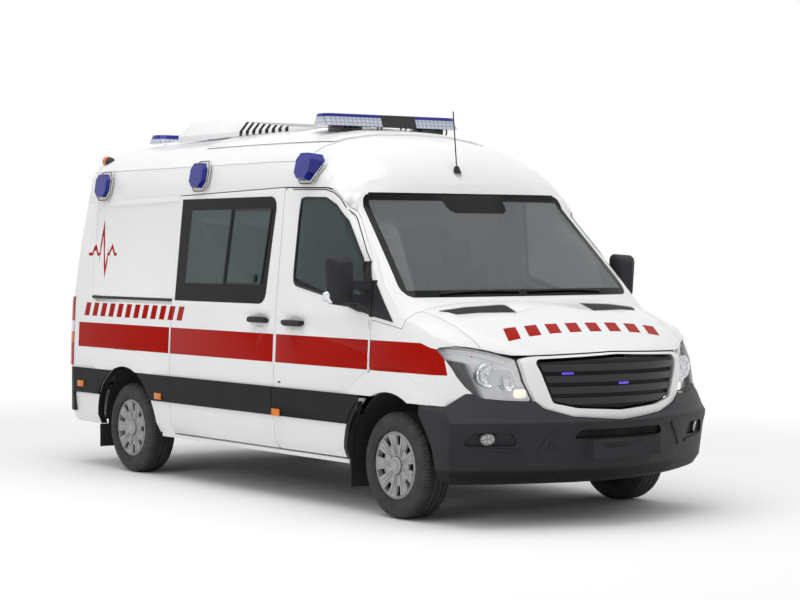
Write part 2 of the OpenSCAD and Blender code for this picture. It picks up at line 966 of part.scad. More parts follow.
// Fixed black trim: rub strips of the body, mud flaps and corner triangles
module lower_trim() {
    color("dimgray")
        difference() {
            union() {
                both_sides() {
                    rub_strip(xr + arch_r - 60, x_door - gap / 2);
                    rub_strip(x_tail + rear_wrap + seat, xr - arch_r + 60);
                }
                both_sides() {
                    arch_lip();
                    mud_flap(xf - arch_r - 4, 190);
                    mud_flap(xr - arch_r - 4, 145);
                    corner_triangle();
                }
                mirror([0, 1, 0])
                    difference() {
                        door_handle(slide_handle);
                        body_form(-seat);
                    }
            }
            wheel_arch(xr, arch_r + 2);
            flare_cut(xr);
        }
}
// Room for a white flare in the rub strips
module flare_cut(x) {
    intersection() {
        wheel_arch(x, arch_r + flare_w + seat, 600);
        box([x - 900, x + 900], [-wide, wide], [strip_high, 2000]);
    }
}
// Black lip behind a front arch, below the flare
module arch_lip() {
    intersection() {
        skin(-flare_out, panel);
        from_side(1, 600)
            difference() {
                translate([xf, tyre_r])
                    circle(arch_r + lip_w, $fn = 48);
                translate([xf, tyre_r])
                    circle(arch_r, $fn = 48);
                translate([xf - 300, 0])
                    square([900, 1500]);
                translate([xf - 900, strip_high])
                    square([900, 900]);
                translate([xf - 900, 0])
                    square([900, sill_z]);
            }
    }
}
// Black corner between windscreen pillar, door and wing
module corner_triangle() {
    intersection() {
        skin(-4, -seat);
        from_side(1, 600)
            polygon([
                [xf - door_front + gap, window_low - 44], [xf + 36, window_low - 76],
                [xf - door_front + gap, 1420]
            ]);
    }
}
module mud_flap(x, reach) {
    top = tyre_r + 30 - seat;
    translate([x - 14, half_w - 258.5, 150])
        cube([14, 215, sill_z - 4 - 150]);
    translate([x - 14, half_w - 258.5, sill_z - 5])
        cube([14, reach, top - sill_z + 5]);
}
module side_markers() {
    color("darkorange") {
        both_sides() {
            marker(xf - 2734, 576, half_w + strip_out + seat);
            marker(xf - 3892, 606, half_w + strip_out + seat);
        }
        difference() {
            both_sides()
                hull()
                    for (p = [[-22, 12], [22, 0]])
                        translate([corner_lamp[0] + p[0], corner_lamp[1], skin_z(corner_lamp[0], corner_lamp[1]) + p[1]])
                            sphere(42, $fn = 12);
            body_form(-7);
        }
    }
}
// Amber marker lamp on a rub strip
module marker(x, z, y0) {
    translate([x - 45, y0, z - 22])
        cube([90, half_w + strip_out + 7 - y0, 44]);
}
corner_lamp = [x_tail + 205, 752];      // amber lamp over the rear corner of the roof
module wipers() {
    color("black")
        for (start = [-640, 20])
            for (k = [0:WIPER_STEPS - 1])
                hull() {
                    wiper_bead(start, k);
                    wiper_bead(start, k + 1);
                }
}
WIPER_STEPS = 4;
module wiper_bead(start, k) {
    y = start + 590 * k / WIPER_STEPS;
    x = cowl_x - 38 - 0.026 * abs(y);
    translate([x, y, skin_z(x, y) + 9])
        sphere(7, $fn = 6);
}

// Cab and cabin
module dashboard() {
    color("dimgray") {
        difference() {
            from_side(1, -800, 800)
                polygon([
                    [xf - 200, floor_z + seat], [xf - 62, floor_z + seat], [xf - 62, 1195], [xf - 150, 1225],
                    [xf - 330, 1212], [xf - 400, 1130], [xf - 350, 900]
                ]);
            wheel_arch(xf, arch_r + 14 + seat, 505 - seat);
        }
        translate([xf - 520, 400, 1190])
            rotate([0, -62, 0])
                steering_wheel();
    }
}
module steering_wheel() {
    rotate_extrude($fn = 48)
        translate([190, 0])
            circle(15);
    cylinder(r = 55, h = 34, center = true);
    for (a = [0, 120, 240])
        rotate(a)
            translate([30, -18, -8])
                cube([150, 36, 16]);
    translate([0, 0, -190])
        cylinder(r = 30, h = 180);
}
// Cab seat on its box, with w its width and its back leaning
module seat_at(y, w) {
    translate([xf - 700, y + w / 2, floor_z])
        rotate([90, 0, 0]) {
            translate([0, 0, 40])
                linear_extrude(w - 80)
                    translate([-380, seat])
                        square([360, 190]);
            linear_extrude(w)
                polygon([
                    [-420, 180], [40, 190], [60, 260], [40, 320], [-300, 300], [-350, 340], [-470, 890],
                    [-540, 910], [-570, 860]
                ]);
        }
    for (head = w > 600 ? [-0.25, 0.25] : [0])
        translate([xf - 1235, y + head * w + 120, floor_z + 900])
            rotate([90, 0, 0])
                linear_extrude(240)
                    polygon([[0, 0], [60, 0], [75, 90], [55, 180], [-10, 180], [-20, 80]]);
}
module seats() {
    color("darkslategray") {
        seat_at(430, 500);
        seat_at(-380, 880);
    }
}
// Bulkhead behind the cab, cupboard along the left wall and seat boxes on the right
module cabin_fittings() {
    color("ghostwhite") {
        difference() {
            intersection() {
                body_form(wall + 3);
                box([x_door - 62, x_door - 34], [-wide, wide], [floor_z + seat, eave_z - 46]);
            }
            box([x_door - 100, x_door], [-420, 420], [1350, 1750]);
        }
        from_side(1, 480, 800)
            polygon([
                [x_door - 1500, floor_z + seat], [x_door - 62 - seat, floor_z + seat],
                [x_door - 62 - seat, 1880], [x_door - 700, 1880], [x_door - 700, 1050], [x_door - 1500, 1050]
            ]);
        box([xr + arch_r + 40, xr + arch_r + 480], [-800, -380], [floor_z + seat, 1020]);
    }
}
module engine() {
    color("gray") {
        from_side(1, -250, 250)
            polygon([
                [xf - 24, 470], [xf + 120, 430], [xf + 520, 430], [xf + 560, 520], [xf + 560, 900],
                [xf + 480, 970], [xf + 40, 970], [xf - 24, 900]
            ]);
        both_sides()
            box([xf + 200, xf + 300], [240, rail_y - rail_w / 2 - seat], [470, 530]);
    }
}

// Running gear
module floor_pan() {
    half = side_half(floor_z) - wall - 2;
    color("dimgray") {
        difference() {
            union() {
                box([x_tail + 115, xf - 60], [-half, half], [floor_z - floor_t, floor_z]);
                box([xf - 61, xf - 40], [-half + 40, half - 40], [floor_z - 120, 1180]);
            }
            wheel_arch(xr, arch_r + 14 + seat, 620 - seat);
            wheel_arch(xf, arch_r + 14 + seat, 505 - seat);
        }
        both_sides() {
            box([x_tail + 60, nose_x - 160], [rail_y - rail_w / 2, rail_y + rail_w / 2], [rail_low, floor_z - floor_t]);
            for (x = JACK_PADS)
                translate([x, rail_y, rail_low - jack_h])
                    cylinder(r = jack_r, h = jack_h + 1);
        }
    }
}
// Lifting pads under the frame rails
JACK_PADS = [xr + 860, xf - 640];
jack_r = 36;
jack_h = 24;
module front_axle() {
    color("gray") {
        box([xf - 60, xf + 60], [-half_track + 170, half_track - 170], [tyre_r - 40, rail_low]);
        both_sides() {
            yoke();
            translate([xf, kingpin_y, tyre_r - 110])
                cylinder(r = kingpin_r, h = 220);
        }
    }
}
kingpin_y = half_track - 125;
module yoke() {
    difference() {
        union() {
            for (z = [tyre_r - 105, tyre_r + 75])
                translate([xf, kingpin_y, z])
                    cylinder(r = 32, h = 30);
            box([xf - 30, xf + 30], [half_track - 190, kingpin_y - 34], [tyre_r - 105, tyre_r + 105]);
            for (z = [tyre_r - 105, tyre_r + 75])
                box([xf - 30, xf + 30], [half_track - 190, kingpin_y], [z, z + 30]);
        }
    }
}
module knuckle(side) {
    color("darkgray")
        mirror([0, side > 0 ? 0 : 1, 0])
            difference() {
                union() {
                    translate([xf, kingpin_y, tyre_r - 70])
                        cylinder(r = 30, h = 140);
                    cross_cylinder(xf, tyre_r, stub_r, kingpin_y, half_track + 70);
                    cross_cylinder(xf, tyre_r, 120, half_track - 85, half_track - 60);
                    cross_cylinder(xf, tyre_r, 45, kingpin_y, half_track - 60);
                }
                translate([xf, kingpin_y, 0])
                    cylinder(r = kingpin_r + fit, h = 1000);
            }
}
module rear_axle() {
    color("gray") {
        cross_cylinder(xr, tyre_r, 42, -half_track + 85, half_track - 85);
        translate([xr, 0, tyre_r])
            sphere(120);
        translate([xr, 0, tyre_r + 20])
            rotate([0, 90, 0])
                cylinder(r = 42, h = wheelbase - 400);
        both_sides() {
            cross_cylinder(xr, tyre_r, 120, half_track - 85, half_track - 60);
            cross_cylinder(xr, tyre_r, stub_r, half_track - 90, half_track + 70);
            leaf_spring();
        }
    }
}
// Leaf spring over the axle, with its hangers under the rail
module leaf_spring() {
    box([xr - 620, xr + 620], [rail_y - 30, rail_y + 30], [tyre_r + 30, tyre_r + 50]);
    box([xr - 320, xr + 320], [rail_y - 30, rail_y + 30], [tyre_r + 16, tyre_r + 31]);
    for (s = [-1, 1])
        box([xr + 600 * s - 20, xr + 600 * s + 20], [rail_y - 30, rail_y + 30], [tyre_r + 40, rail_low - seat]);
}
// Fuel tank on the left, exhaust with its silencer on the right
module underbody() {
    color("gray") {
        from_front(xr + 850, xr + 1750)
            polygon([
                [70, floor_z - floor_t - seat], [380, floor_z - floor_t - seat], [380, 420], [340, 370],
                [110, 370], [70, 420]
            ]);
        translate([xr + 700, -240, 480])
            rotate([0, 90, 0])
                cylinder(r = 28, h = wheelbase - 900);
        translate([xr + 1100, -240, 480])
            rotate([0, 90, 0])
                cylinder(r = 88, h = 620);
        for (x = [xr + 760, xr + 1400, xf - 320])
            box([x - 15, x + 15], [-252, -228], [480, floor_z - floor_t - seat]);
    }
}
// Liners over the wheels: shell, inner wall and the tabs that the mud flaps hang on
module wheel_house(x, y0, depth) {
    y1 = side_half(tyre_r + 30) - depth - 1;
    difference() {
        cross_cylinder(x, tyre_r, arch_r + 14, y0, y1, $fn = 48);
        cross_cylinder(x, tyre_r, arch_r + 4, y0 + 10, wide, $fn = 48);
        box([x - 600, x + 600], [0, wide], [-600, tyre_r + 30]);
        box([x - 130, x + 130], [0, y0 + 60], [0, rail_low + 20]);
    }
}
module wheel_houses() {
    color("dimgray")
        both_sides() {
            wheel_house(xf, half_track - 343, panel);
            wheel_house(xr, half_track - 228, wall);
        }
}
module tyre(x, side) {
    color("black")
        translate([x, side * half_track, tyre_r])
            rotate([90, 0, 0])
                rotate_extrude($fn = 96)
                    difference() {
                        polygon([
                            [cover_r, -tyre_w / 2 + 14], [cover_r + 12, -tyre_w / 2 + 6], [cover_r + 60, -tyre_w / 2],
                            [tyre_r - 26, -tyre_w / 2 + 8], [tyre_r - 8, -tyre_w / 2 + 22], [tyre_r, -tyre_w / 2 + 40],
                            [tyre_r, tyre_w / 2 - 40], [tyre_r - 8, tyre_w / 2 - 22], [tyre_r - 26, tyre_w / 2 - 8],
                            [cover_r + 60, tyre_w / 2], [cover_r + 12, tyre_w / 2 - 6], [cover_r, tyre_w / 2 - 14]
                        ]);
                        for (k = [-1:1])
                            translate([tyre_r - 8, 38 * k - 4])
                                square([20, 8]);
                    }
}
module rim(x, side) {
    color("silver")
        translate([x, side * half_track, tyre_r])
            rotate([side > 0 ? -90 : 90, 0, 0])
                difference() {
                    union() {
                        rotate_extrude($fn = 96)
                            polygon([
                                [0, 58], [0, 88], [52, 88], [60, 76], [105, 80], [cover_r - 22, 92],
                                [cover_r - 8, 94], [cover_r - seat, 88], [cover_r - seat, -90],
                                [cover_r - 16, -90], [cover_r - 24, 74], [105, 66], [60, 58]
                            ]);
                        cylinder(r = 64, h = 70);
                    }
                    translate([0, 0, -200])
                        cylinder(r = stub_r + fit, h = 272);
                    for (k = [0:cover_windows - 1])
                        rotate(360 * k / cover_windows)
                            translate([0, 0, 50])
                                linear_extrude(60)
                                    polygon([[124, -15], [cover_r - 18, -25], [cover_r - 18, 25], [124, 15]]);
                }
}

// Roof equipment
// Light bars: x of the middle, half length, width, foot of the lens, its height
BARS = [
    [x_bar[0], bar_l / 2, 200, top_at(x_bar[0]) + 20, bar_h],
    [x_bar[1], 560, 200, top_at(x_bar[1]) - 12, bar_h - 18]
];
// Side beacons: distance of the middle behind the front axle on the right and on the left, height, lean
BEACONS = [[1000, 1450, 2103, 13], [2320, 2320, 2084, 10], [3700, 3700, 2048, 8]];
module octagon(l, h, cut) {
    polygon([for (p = [[1, 1], [-1, 1], [-1, -1], [1, -1]], k = [0, 1])
        let (first = (k == 0) == (p[0] * p[1] > 0))
        [p[0] * (l / 2 - (first ? 0 : cut)), p[1] * (h / 2 - (first ? cut : 0))]]);
}
// A side beacon's outline, standing out of the roof's side by the given reach
module side_beacons(l, h, reach, top_share) {
    for (side = [0, 1], b = BEACONS)
        mirror([0, 1 - side, 0])
            translate([xf - b[side], side_half(eave_z) - 57, b[2]])
                rotate([b[3] - 90, 0, 0])
                    linear_extrude(reach + 60, scale = top_share, slices = 1)
                        octagon(l, h, 46);
}
module bar_lens(b) {
    translate([b[0], 0, b[3]])
        linear_extrude(b[4], scale = [0.72, 0.96], slices = 1)
            offset(70, $fn = 20)
                square([b[2] - 140, 2 * b[1] - 140], center = true);
}
module beacon_lenses() {
    color("mediumblue")
        difference() {
            union() {
                for (b = BARS)
                    bar_lens(b);
                side_beacons(beacon_l, beacon_h, 46, 0.86);
            }
            body_form(-26);
        }
}
module beacon_bases() {
    color("gainsboro")
        difference() {
            union() {
                for (b = BARS, y = [-1, 1])
                    box(
                        [b[0] - b[2] / 2 + 30, b[0] + b[2] / 2 - 30], [0.6 * y * b[1] - 90, 0.6 * y * b[1] + 90],
                        [b[3] - 160, b[3] - seat]
                    );
                intersection() {
                    side_beacons(beacon_l + 24, beacon_h + 24, 40, 1);
                    body_form(-26 + seat);
                }
            }
            body_form(-15);
        }
}
// Air conditioner housing: low box with sloping sides and a louvred front slope
module roof_unit() {
    unit_x = x_tail + 838;
    color("white")
        difference() {
            hull() {
                box([unit_x, unit_x + 1555], [-520, 520], [roof_h - 80, roof_h - 6]);
                box([unit_x + 40, unit_x + 600], [-440, 440], [roof_h + 76, roof_h + 90]);
            }
            body_form(-15);
            for (k = [0:7])
                box(
                    [unit_x + 850 + 84 * k, unit_x + 890 + 84 * k], [-600, 600],
                    [top_at(unit_x + 850 + 84 * k) - 10 - 3 * k, roof_h + 200]
                );
        }
}
module antenna() {
    x = xf - 611;
    color("black")
        difference() {
            translate([x, -16, skin_z(x, -16) - 10])
                rotate([0, -6, 0]) {
                    cylinder(r1 = 30, r2 = 14, h = 46, $fn = 16);
                    cylinder(r = 4, h = 400, $fn = 8);
                }
            body_form(-seat);
        }
}

floor_pan();
body_side_l();
body_side_r();
roof();
roof_cap();
cab_frame();
front_wings();
sliding_door();
fixed_glass();
front_bumper();
plate_holder();
nose_panel();
grille();
headlamp_housings();
front_lenses();
rear_bumper();
tail_lamps();
lower_trim();
side_markers();
wipers();
dashboard();
seats();
cabin_fittings();
engine();
front_axle();
rear_axle();
underbody();
wheel_houses();
beacon_lenses();
beacon_bases();
roof_unit();
antenna();
hinges();
front_door(1);  // front_door_l
front_door(-1);  // front_door_r
door_glass(1);  // door_glass_l
door_glass(-1);  // door_glass_r
door_trim(1);  // door_trim_l
door_trim(-1);  // door_trim_r
rear_door(1);  // rear_door_l
rear_door(-1);  // rear_door_r
rear_glass(1);  // rear_glass_l
rear_glass(-1);  // rear_glass_r
bonnet();
bonnet_vents();
knuckle(1);  // knuckle_l
knuckle(-1);  // knuckle_r
tyre(xf, 1);  // tyre_fl
tyre(xf, -1);  // tyre_fr
tyre(xr, 1);  // tyre_rl
tyre(xr, -1);  // tyre_rr
rim(xf, 1);  // rim_fl
rim(xf, -1);  // rim_fr
rim(xr, 1);  // rim_rl
rim(xr, -1);  // rim_rr
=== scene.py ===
import json
import math

import bpy
from mathutils import Matrix, Vector
from mathutils.bvhtree import BVHTree
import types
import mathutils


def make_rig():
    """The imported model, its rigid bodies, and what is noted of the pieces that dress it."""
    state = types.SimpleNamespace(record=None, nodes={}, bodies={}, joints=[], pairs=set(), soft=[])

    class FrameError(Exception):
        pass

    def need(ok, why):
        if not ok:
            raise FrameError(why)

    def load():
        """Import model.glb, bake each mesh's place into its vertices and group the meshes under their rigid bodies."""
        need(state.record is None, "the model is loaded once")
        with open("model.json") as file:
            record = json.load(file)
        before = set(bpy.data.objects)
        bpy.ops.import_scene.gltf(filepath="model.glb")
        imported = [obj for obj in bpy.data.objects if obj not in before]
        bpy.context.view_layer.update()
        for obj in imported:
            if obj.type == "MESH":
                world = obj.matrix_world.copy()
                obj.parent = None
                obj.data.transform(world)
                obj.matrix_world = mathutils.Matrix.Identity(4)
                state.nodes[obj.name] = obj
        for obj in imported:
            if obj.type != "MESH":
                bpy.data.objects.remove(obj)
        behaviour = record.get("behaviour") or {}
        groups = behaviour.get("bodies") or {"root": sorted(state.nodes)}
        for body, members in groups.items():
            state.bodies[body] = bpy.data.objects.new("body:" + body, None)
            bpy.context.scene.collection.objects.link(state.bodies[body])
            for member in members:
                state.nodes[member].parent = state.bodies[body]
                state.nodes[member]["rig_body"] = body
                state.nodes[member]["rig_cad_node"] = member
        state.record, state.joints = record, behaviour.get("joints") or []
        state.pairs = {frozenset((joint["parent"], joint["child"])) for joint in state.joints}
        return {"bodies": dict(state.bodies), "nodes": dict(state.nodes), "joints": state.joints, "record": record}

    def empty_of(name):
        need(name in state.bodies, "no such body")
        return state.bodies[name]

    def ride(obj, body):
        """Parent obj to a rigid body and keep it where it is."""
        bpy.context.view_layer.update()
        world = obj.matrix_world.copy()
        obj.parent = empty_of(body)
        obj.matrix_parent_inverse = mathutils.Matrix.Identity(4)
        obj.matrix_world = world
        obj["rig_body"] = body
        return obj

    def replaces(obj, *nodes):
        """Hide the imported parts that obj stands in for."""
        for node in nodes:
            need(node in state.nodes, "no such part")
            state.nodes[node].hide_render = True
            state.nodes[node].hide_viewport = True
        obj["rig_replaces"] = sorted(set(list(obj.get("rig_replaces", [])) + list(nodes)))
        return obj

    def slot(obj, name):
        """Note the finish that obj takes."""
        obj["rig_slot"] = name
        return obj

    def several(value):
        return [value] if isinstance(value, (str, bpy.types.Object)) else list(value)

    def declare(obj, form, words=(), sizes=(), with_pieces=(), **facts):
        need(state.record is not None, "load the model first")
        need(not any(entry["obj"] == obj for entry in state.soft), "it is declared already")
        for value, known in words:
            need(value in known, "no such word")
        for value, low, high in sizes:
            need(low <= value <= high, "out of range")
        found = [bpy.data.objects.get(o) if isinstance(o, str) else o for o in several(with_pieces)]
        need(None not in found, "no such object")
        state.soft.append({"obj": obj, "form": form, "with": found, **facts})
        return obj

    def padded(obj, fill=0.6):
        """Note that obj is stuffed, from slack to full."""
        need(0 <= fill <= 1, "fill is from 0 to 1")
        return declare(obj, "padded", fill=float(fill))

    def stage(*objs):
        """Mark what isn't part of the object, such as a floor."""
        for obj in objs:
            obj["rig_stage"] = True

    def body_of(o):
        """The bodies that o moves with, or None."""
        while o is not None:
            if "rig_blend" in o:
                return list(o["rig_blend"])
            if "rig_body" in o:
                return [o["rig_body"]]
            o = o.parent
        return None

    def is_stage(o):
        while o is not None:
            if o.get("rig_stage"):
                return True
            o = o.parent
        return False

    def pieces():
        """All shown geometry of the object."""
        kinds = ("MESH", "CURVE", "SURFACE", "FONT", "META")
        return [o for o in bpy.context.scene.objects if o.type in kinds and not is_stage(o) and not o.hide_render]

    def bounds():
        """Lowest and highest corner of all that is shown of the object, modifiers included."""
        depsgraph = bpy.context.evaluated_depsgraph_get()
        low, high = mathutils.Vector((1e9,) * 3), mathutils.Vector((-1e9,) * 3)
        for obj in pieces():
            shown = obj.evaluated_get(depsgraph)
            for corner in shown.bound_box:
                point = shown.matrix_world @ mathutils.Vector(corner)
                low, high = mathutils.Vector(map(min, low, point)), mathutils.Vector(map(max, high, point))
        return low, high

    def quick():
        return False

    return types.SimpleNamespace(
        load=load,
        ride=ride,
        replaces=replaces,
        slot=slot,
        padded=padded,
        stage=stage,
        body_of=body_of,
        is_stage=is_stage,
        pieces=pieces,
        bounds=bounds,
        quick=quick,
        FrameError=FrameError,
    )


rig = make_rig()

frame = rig.load()
cad_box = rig.bounds()
nodes = frame["nodes"]

# Studio: a pale seamless floor, a soft white surround and three large soft lamps, with the
# camera as far off and as high as the photographer stood, at a long focal length.
CAMERA_PLACE = Vector((11.84, -8.2537, 1.6199))
CAMERA_YAW, CAMERA_PITCH = math.radians(35.701), math.radians(-1.457)
CAMERA_LENS = 95.65

scene = bpy.context.scene
scene.view_settings.view_transform = "Standard"
aim = Vector((
    -math.cos(CAMERA_YAW) * math.cos(CAMERA_PITCH),
    math.sin(CAMERA_YAW) * math.cos(CAMERA_PITCH),
    math.sin(CAMERA_PITCH),
))
bpy.ops.object.camera_add(location=CAMERA_PLACE, rotation=aim.to_track_quat("-Z", "Y").to_euler())
scene.camera = bpy.context.object
scene.camera.data.lens = CAMERA_LENS
scene.camera.data.clip_end = 200


class Shade:
    """One value in a material's nodes. Arithmetic on it adds Math nodes; make() adds any other node."""

    def __init__(self, tree, socket):
        self.tree, self.socket = tree, socket

    def make(self, kind, settings=None, inputs=None, out=0):
        node = self.tree.nodes.new("ShaderNode" + kind)
        for key, value in (settings or {}).items():
            setattr(node, key, value)
        for key, value in (inputs or {}).items():
            if isinstance(value, Shade):
                self.tree.links.new(value.socket, node.inputs[key])
            else:
                node.inputs[key].default_value = value
        return Shade(self.tree, node.outputs[out])

    def math(self, operation, *values, clamp=False):
        inputs = dict(enumerate((self, *values)))
        return self.make("Math", {"operation": operation, "use_clamp": clamp}, inputs)

    def __add__(self, other): return self.math("ADD", other)
    def __radd__(self, other): return self.math("ADD", other)
    def __sub__(self, other): return self.math("SUBTRACT", other)
    def __rsub__(self, other): return (self * -1.0) + other
    def __mul__(self, other): return self.math("MULTIPLY", other)
    def __rmul__(self, other): return self.math("MULTIPLY", other)
    def __truediv__(self, other): return self.math("DIVIDE", other)
    def __neg__(self): return self * -1.0
    def abs(self): return self.math("ABSOLUTE")
    def sqrt(self): return self.math("SQRT")
    def min(self, other): return self.math("MINIMUM", other)
    def max(self, other): return self.math("MAXIMUM", other)
    def mod(self, step): return self.math("FLOORED_MODULO", step)

    def above(self, edge, soft=0.001):
        """1 where the value is over the edge, with a soft step of that width."""
        return ((self - edge) * (1.0 / soft)).math("ADD", 0.5, clamp=True)

    def under(self, edge):
        return self.math("LESS_THAN", edge)

    def noise(self, scale, detail):
        return self.make("TexNoise", inputs={"Vector": self, "Scale": scale, "Detail": detail})

    def ripple(self, count):
        """Runs from 0.5 to 0 and back in each of that many steps a metre."""
        return ((self * count).mod(1.0) - 0.5).abs()

    def mix(self, low, high):
        """Colour low where this mask is 0 and high where it is 1."""
        def colour(c):
            return c if isinstance(c, Shade) else (*c, 1.0)
        return self.make("Mix", {"data_type": "RGBA"}, {0: self, 6: colour(low), 7: colour(high)}, out=2)


def finish(name, **uniform):
    """New material with one Principled shader: the material, the shader, the place, and its x, y and z."""
    material = bpy.data.materials.new(name)
    material.use_nodes = True
    tree = material.node_tree
    shader = tree.nodes["Principled BSDF"]
    for key, value in uniform.items():
        socket = shader.inputs[key.replace("_", " ").title().replace("Ior", "IOR")]
        socket.default_value = (*value, 1.0) if isinstance(value, tuple) else value
    place = Shade(tree, tree.nodes.new("ShaderNodeTexCoord").outputs["Object"])
    split = place.make("SeparateXYZ", inputs={0: place}).socket.node
    return material, shader, place, [Shade(tree, split.outputs[k]) for k in range(3)]


def wire(shader, **links):
    """Links values to sockets of a material's shader."""
    for key, value in links.items():
        value.tree.links.new(value.socket, shader.inputs[key.replace("_", " ").title()])


def bumped(place, height, strength, distance):
    """Normal of a surface raised by a height, at a strength and over a depth in metres."""
    return place.make("Bump", inputs={"Strength": strength, "Distance": distance, "Height": height})


def seen_or_lit(tree, seen, lit):
    """The seen value where the camera, gloss or glass looks, and the lit one where it only gives light."""
    rays = tree.nodes.new("ShaderNodeLightPath")
    looks = Shade(tree, rays.outputs["Is Camera Ray"])
    for ray in ("Is Glossy Ray", "Is Transmission Ray"):
        looks = looks.max(Shade(tree, rays.outputs[ray]))
    return looks * seen + (1.0 - looks) * lit


FLOOR_NEAR, FLOOR_FAR = 3.6, 6.5
bpy.ops.mesh.primitive_plane_add(size=120, location=(0, 0, 0))
floor = bpy.context.object
floor.name = "floor"
paper, shader, place, (x, y, z) = finish("floor_paper", roughness=0.9, specular_ior_level=0.0)
fibre = place.noise(40.0, 2.0)
wire(shader, base_color=fibre.above(0.5, 2.0).mix((0.95, 0.95, 0.95), (0.97, 0.97, 0.97)))
tree = paper.node_tree
away = ((x * 0.72).math("POWER", 2.0) + y.math("POWER", 2.0)).sqrt().above(
    0.5 * (FLOOR_NEAR + FLOOR_FAR), FLOOR_FAR - FLOOR_NEAR)
glow = tree.nodes.new("ShaderNodeEmission")
blend = tree.nodes.new("ShaderNodeMixShader")
tree.links.new(seen_or_lit(tree, away, 0.0).socket, blend.inputs[0])
tree.links.new(shader.outputs[0], blend.inputs[1])
tree.links.new(glow.outputs[0], blend.inputs[2])
tree.links.new(blend.outputs[0], tree.nodes["Material Output"].inputs["Surface"])
floor.data.materials.append(paper)
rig.stage(floor)

HORIZON_LIGHT, ZENITH_LIGHT = 0.42, 0.80
world = bpy.data.worlds.new("surround")
scene.world = world
world.use_nodes = True
sky = world.node_tree
plain = sky.nodes["Background"]
plain.inputs["Color"].default_value = (1.0, 1.0, 1.0, 1.0)
way = Shade(sky, sky.nodes.new("ShaderNodeTexCoord").outputs["Generated"])
height = Shade(sky, way.make("SeparateXYZ", inputs={0: way}).socket.node.outputs[2]).max(0.0)
light = HORIZON_LIGHT + height * (ZENITH_LIGHT - HORIZON_LIGHT)
sky.links.new(seen_or_lit(sky, 1.0, light).socket, plain.inputs["Strength"])


def soft_lamp(name, place, target, size, power):
    """Round area lamp at a place, turned to a target."""
    data = bpy.data.lights.new(name, "AREA")
    data.shape, data.size, data.energy = "DISK", size, power
    lamp = bpy.data.objects.new(name, data)
    scene.collection.objects.link(lamp)
    lamp.location = place
    lamp.rotation_euler = (Vector(target) - Vector(place)).to_track_quat("-Z", "Y").to_euler()


soft_lamp("overhead", (0.5, -1.5, 9.0), (0, 0, 0), 9.0, 368)
soft_lamp("side_fill", (3.0, -12.0, 5.0), (0, 0, 1.2), 7.0, 165)
soft_lamp("front_fill", (12.0, 1.5, 9.0), (1.2, 0, 1.8), 6.0, 78)

# Painted shell: walls, roof, doors, wings and bonnet in pressed steel, white gloss paint
# under clear lacquer, with red film stuck on panel by panel: a band along both sides, rows of
# plain slanted bars over it and on the bonnet, and a pulse line behind the sliding door.
WHITE, RED = (0.82, 0.825, 0.83), (0.36, 0.006, 0.002)
AXLE_FRONT, AXLE_REAR, AXLE_HEIGHT = 1.6125, -1.6375, 0.319
ARCH_RADIUS = 0.438
SIDES = (-1, "r"), (1, "l")
BAND_LOW, BAND_HIGH = 0.878, 1.058
BAND_TAIL = AXLE_FRONT - 3.97
BAND_SEAMS = [(-1.0, 0.010), (0.343, 0.008), (0.358, 0.008), (1.405, 0.009)]
BAND_DIP_FROM, BAND_DIP = 0.314, 0.25
BAND_END, BAND_END_HEIGHT, BAND_LEAN, BAND_LEFT_SHORT = 0.478, 1.015, 0.35, 0.12
SIDE_BARS = dict(first=-2.28, count=12, step=0.124, width=0.074, low=1.108, high=1.205, lean=0.35)
BONNET_BARS = dict(first=-0.60, count=8, step=0.155, width=0.092, low=-2.262, high=-2.142, lean=0.45)

paint, shader, place, (x, y, z) = finish("white_paint", specular_ior_level=0.04, coat_roughness=0.04)


def limit(value, low, high, soft=0.001):
    """1 between two edges, with soft steps of that width."""
    return value.above(low, soft) * (1.0 - value.above(high, soft))


front = x - AXLE_FRONT
top_edge = BAND_HIGH - (front - BAND_DIP_FROM).max(0.0) * BAND_DIP
end_edge = BAND_END + (BAND_END_HEIGHT - z) * BAND_LEAN - y.above(0.0) * BAND_LEFT_SHORT
band = limit(z, BAND_LOW, BAND_HIGH) * z.under(top_edge)
band = band * x.above(BAND_TAIL) * (end_edge - front).above(0.0)
for seam, width in BAND_SEAMS:
    band = band * (x - seam).abs().above(width)


def slanted_bars(along, across, first, count, step, width, low, high, lean):
    """Row of plain slanted bars, counted along the row and standing between two heights across it."""
    run = along - first - (across - low) * lean
    return limit(run, 0.0, count * step - 0.001) * limit(across, low, high) * run.mod(step).under(width)


facing = Shade(place.tree, place.socket.node.outputs["Normal"])
facing = facing.make("SeparateXYZ", inputs={0: facing}).socket.node
outward, upward = (
    (Shade(place.tree, facing.outputs[k]) * way).above(0.1, 0.05) for k, way in ((1, y), (2, 1.0)))
on_side = y.abs().above(0.9) * outward
film = (band * outward).max(on_side * slanted_bars(x, z, **SIDE_BARS))
film = film.max(upward * z.above(1.03) * slanted_bars(y, -x, **BONNET_BARS))

# Pulse line: centre, half width and height of each peak along the line
PULSE_MIDDLE, PULSE_REACH, PULSE_LINE = (-2.07, 1.56), 0.21, 0.011
PEAKS = [(-0.115, 0.035, 0.055), (-0.015, 0.036, 0.20), (0.048, 0.030, -0.13), (0.135, 0.042, 0.06)]
run = x - PULSE_MIDDLE[0]
trace, steep = z - PULSE_MIDDLE[1], 1.0
for centre, half, peak in PEAKS:
    near = (run - centre).abs()
    trace = trace - (1.0 - near / half).max(0.0) * peak
    steep = near.under(half) * (peak / half) ** 2 + steep
film = film.max(
    on_side * run.abs().under(PULSE_REACH) * (trace.abs() - steep.sqrt() * PULSE_LINE).under(0.0))

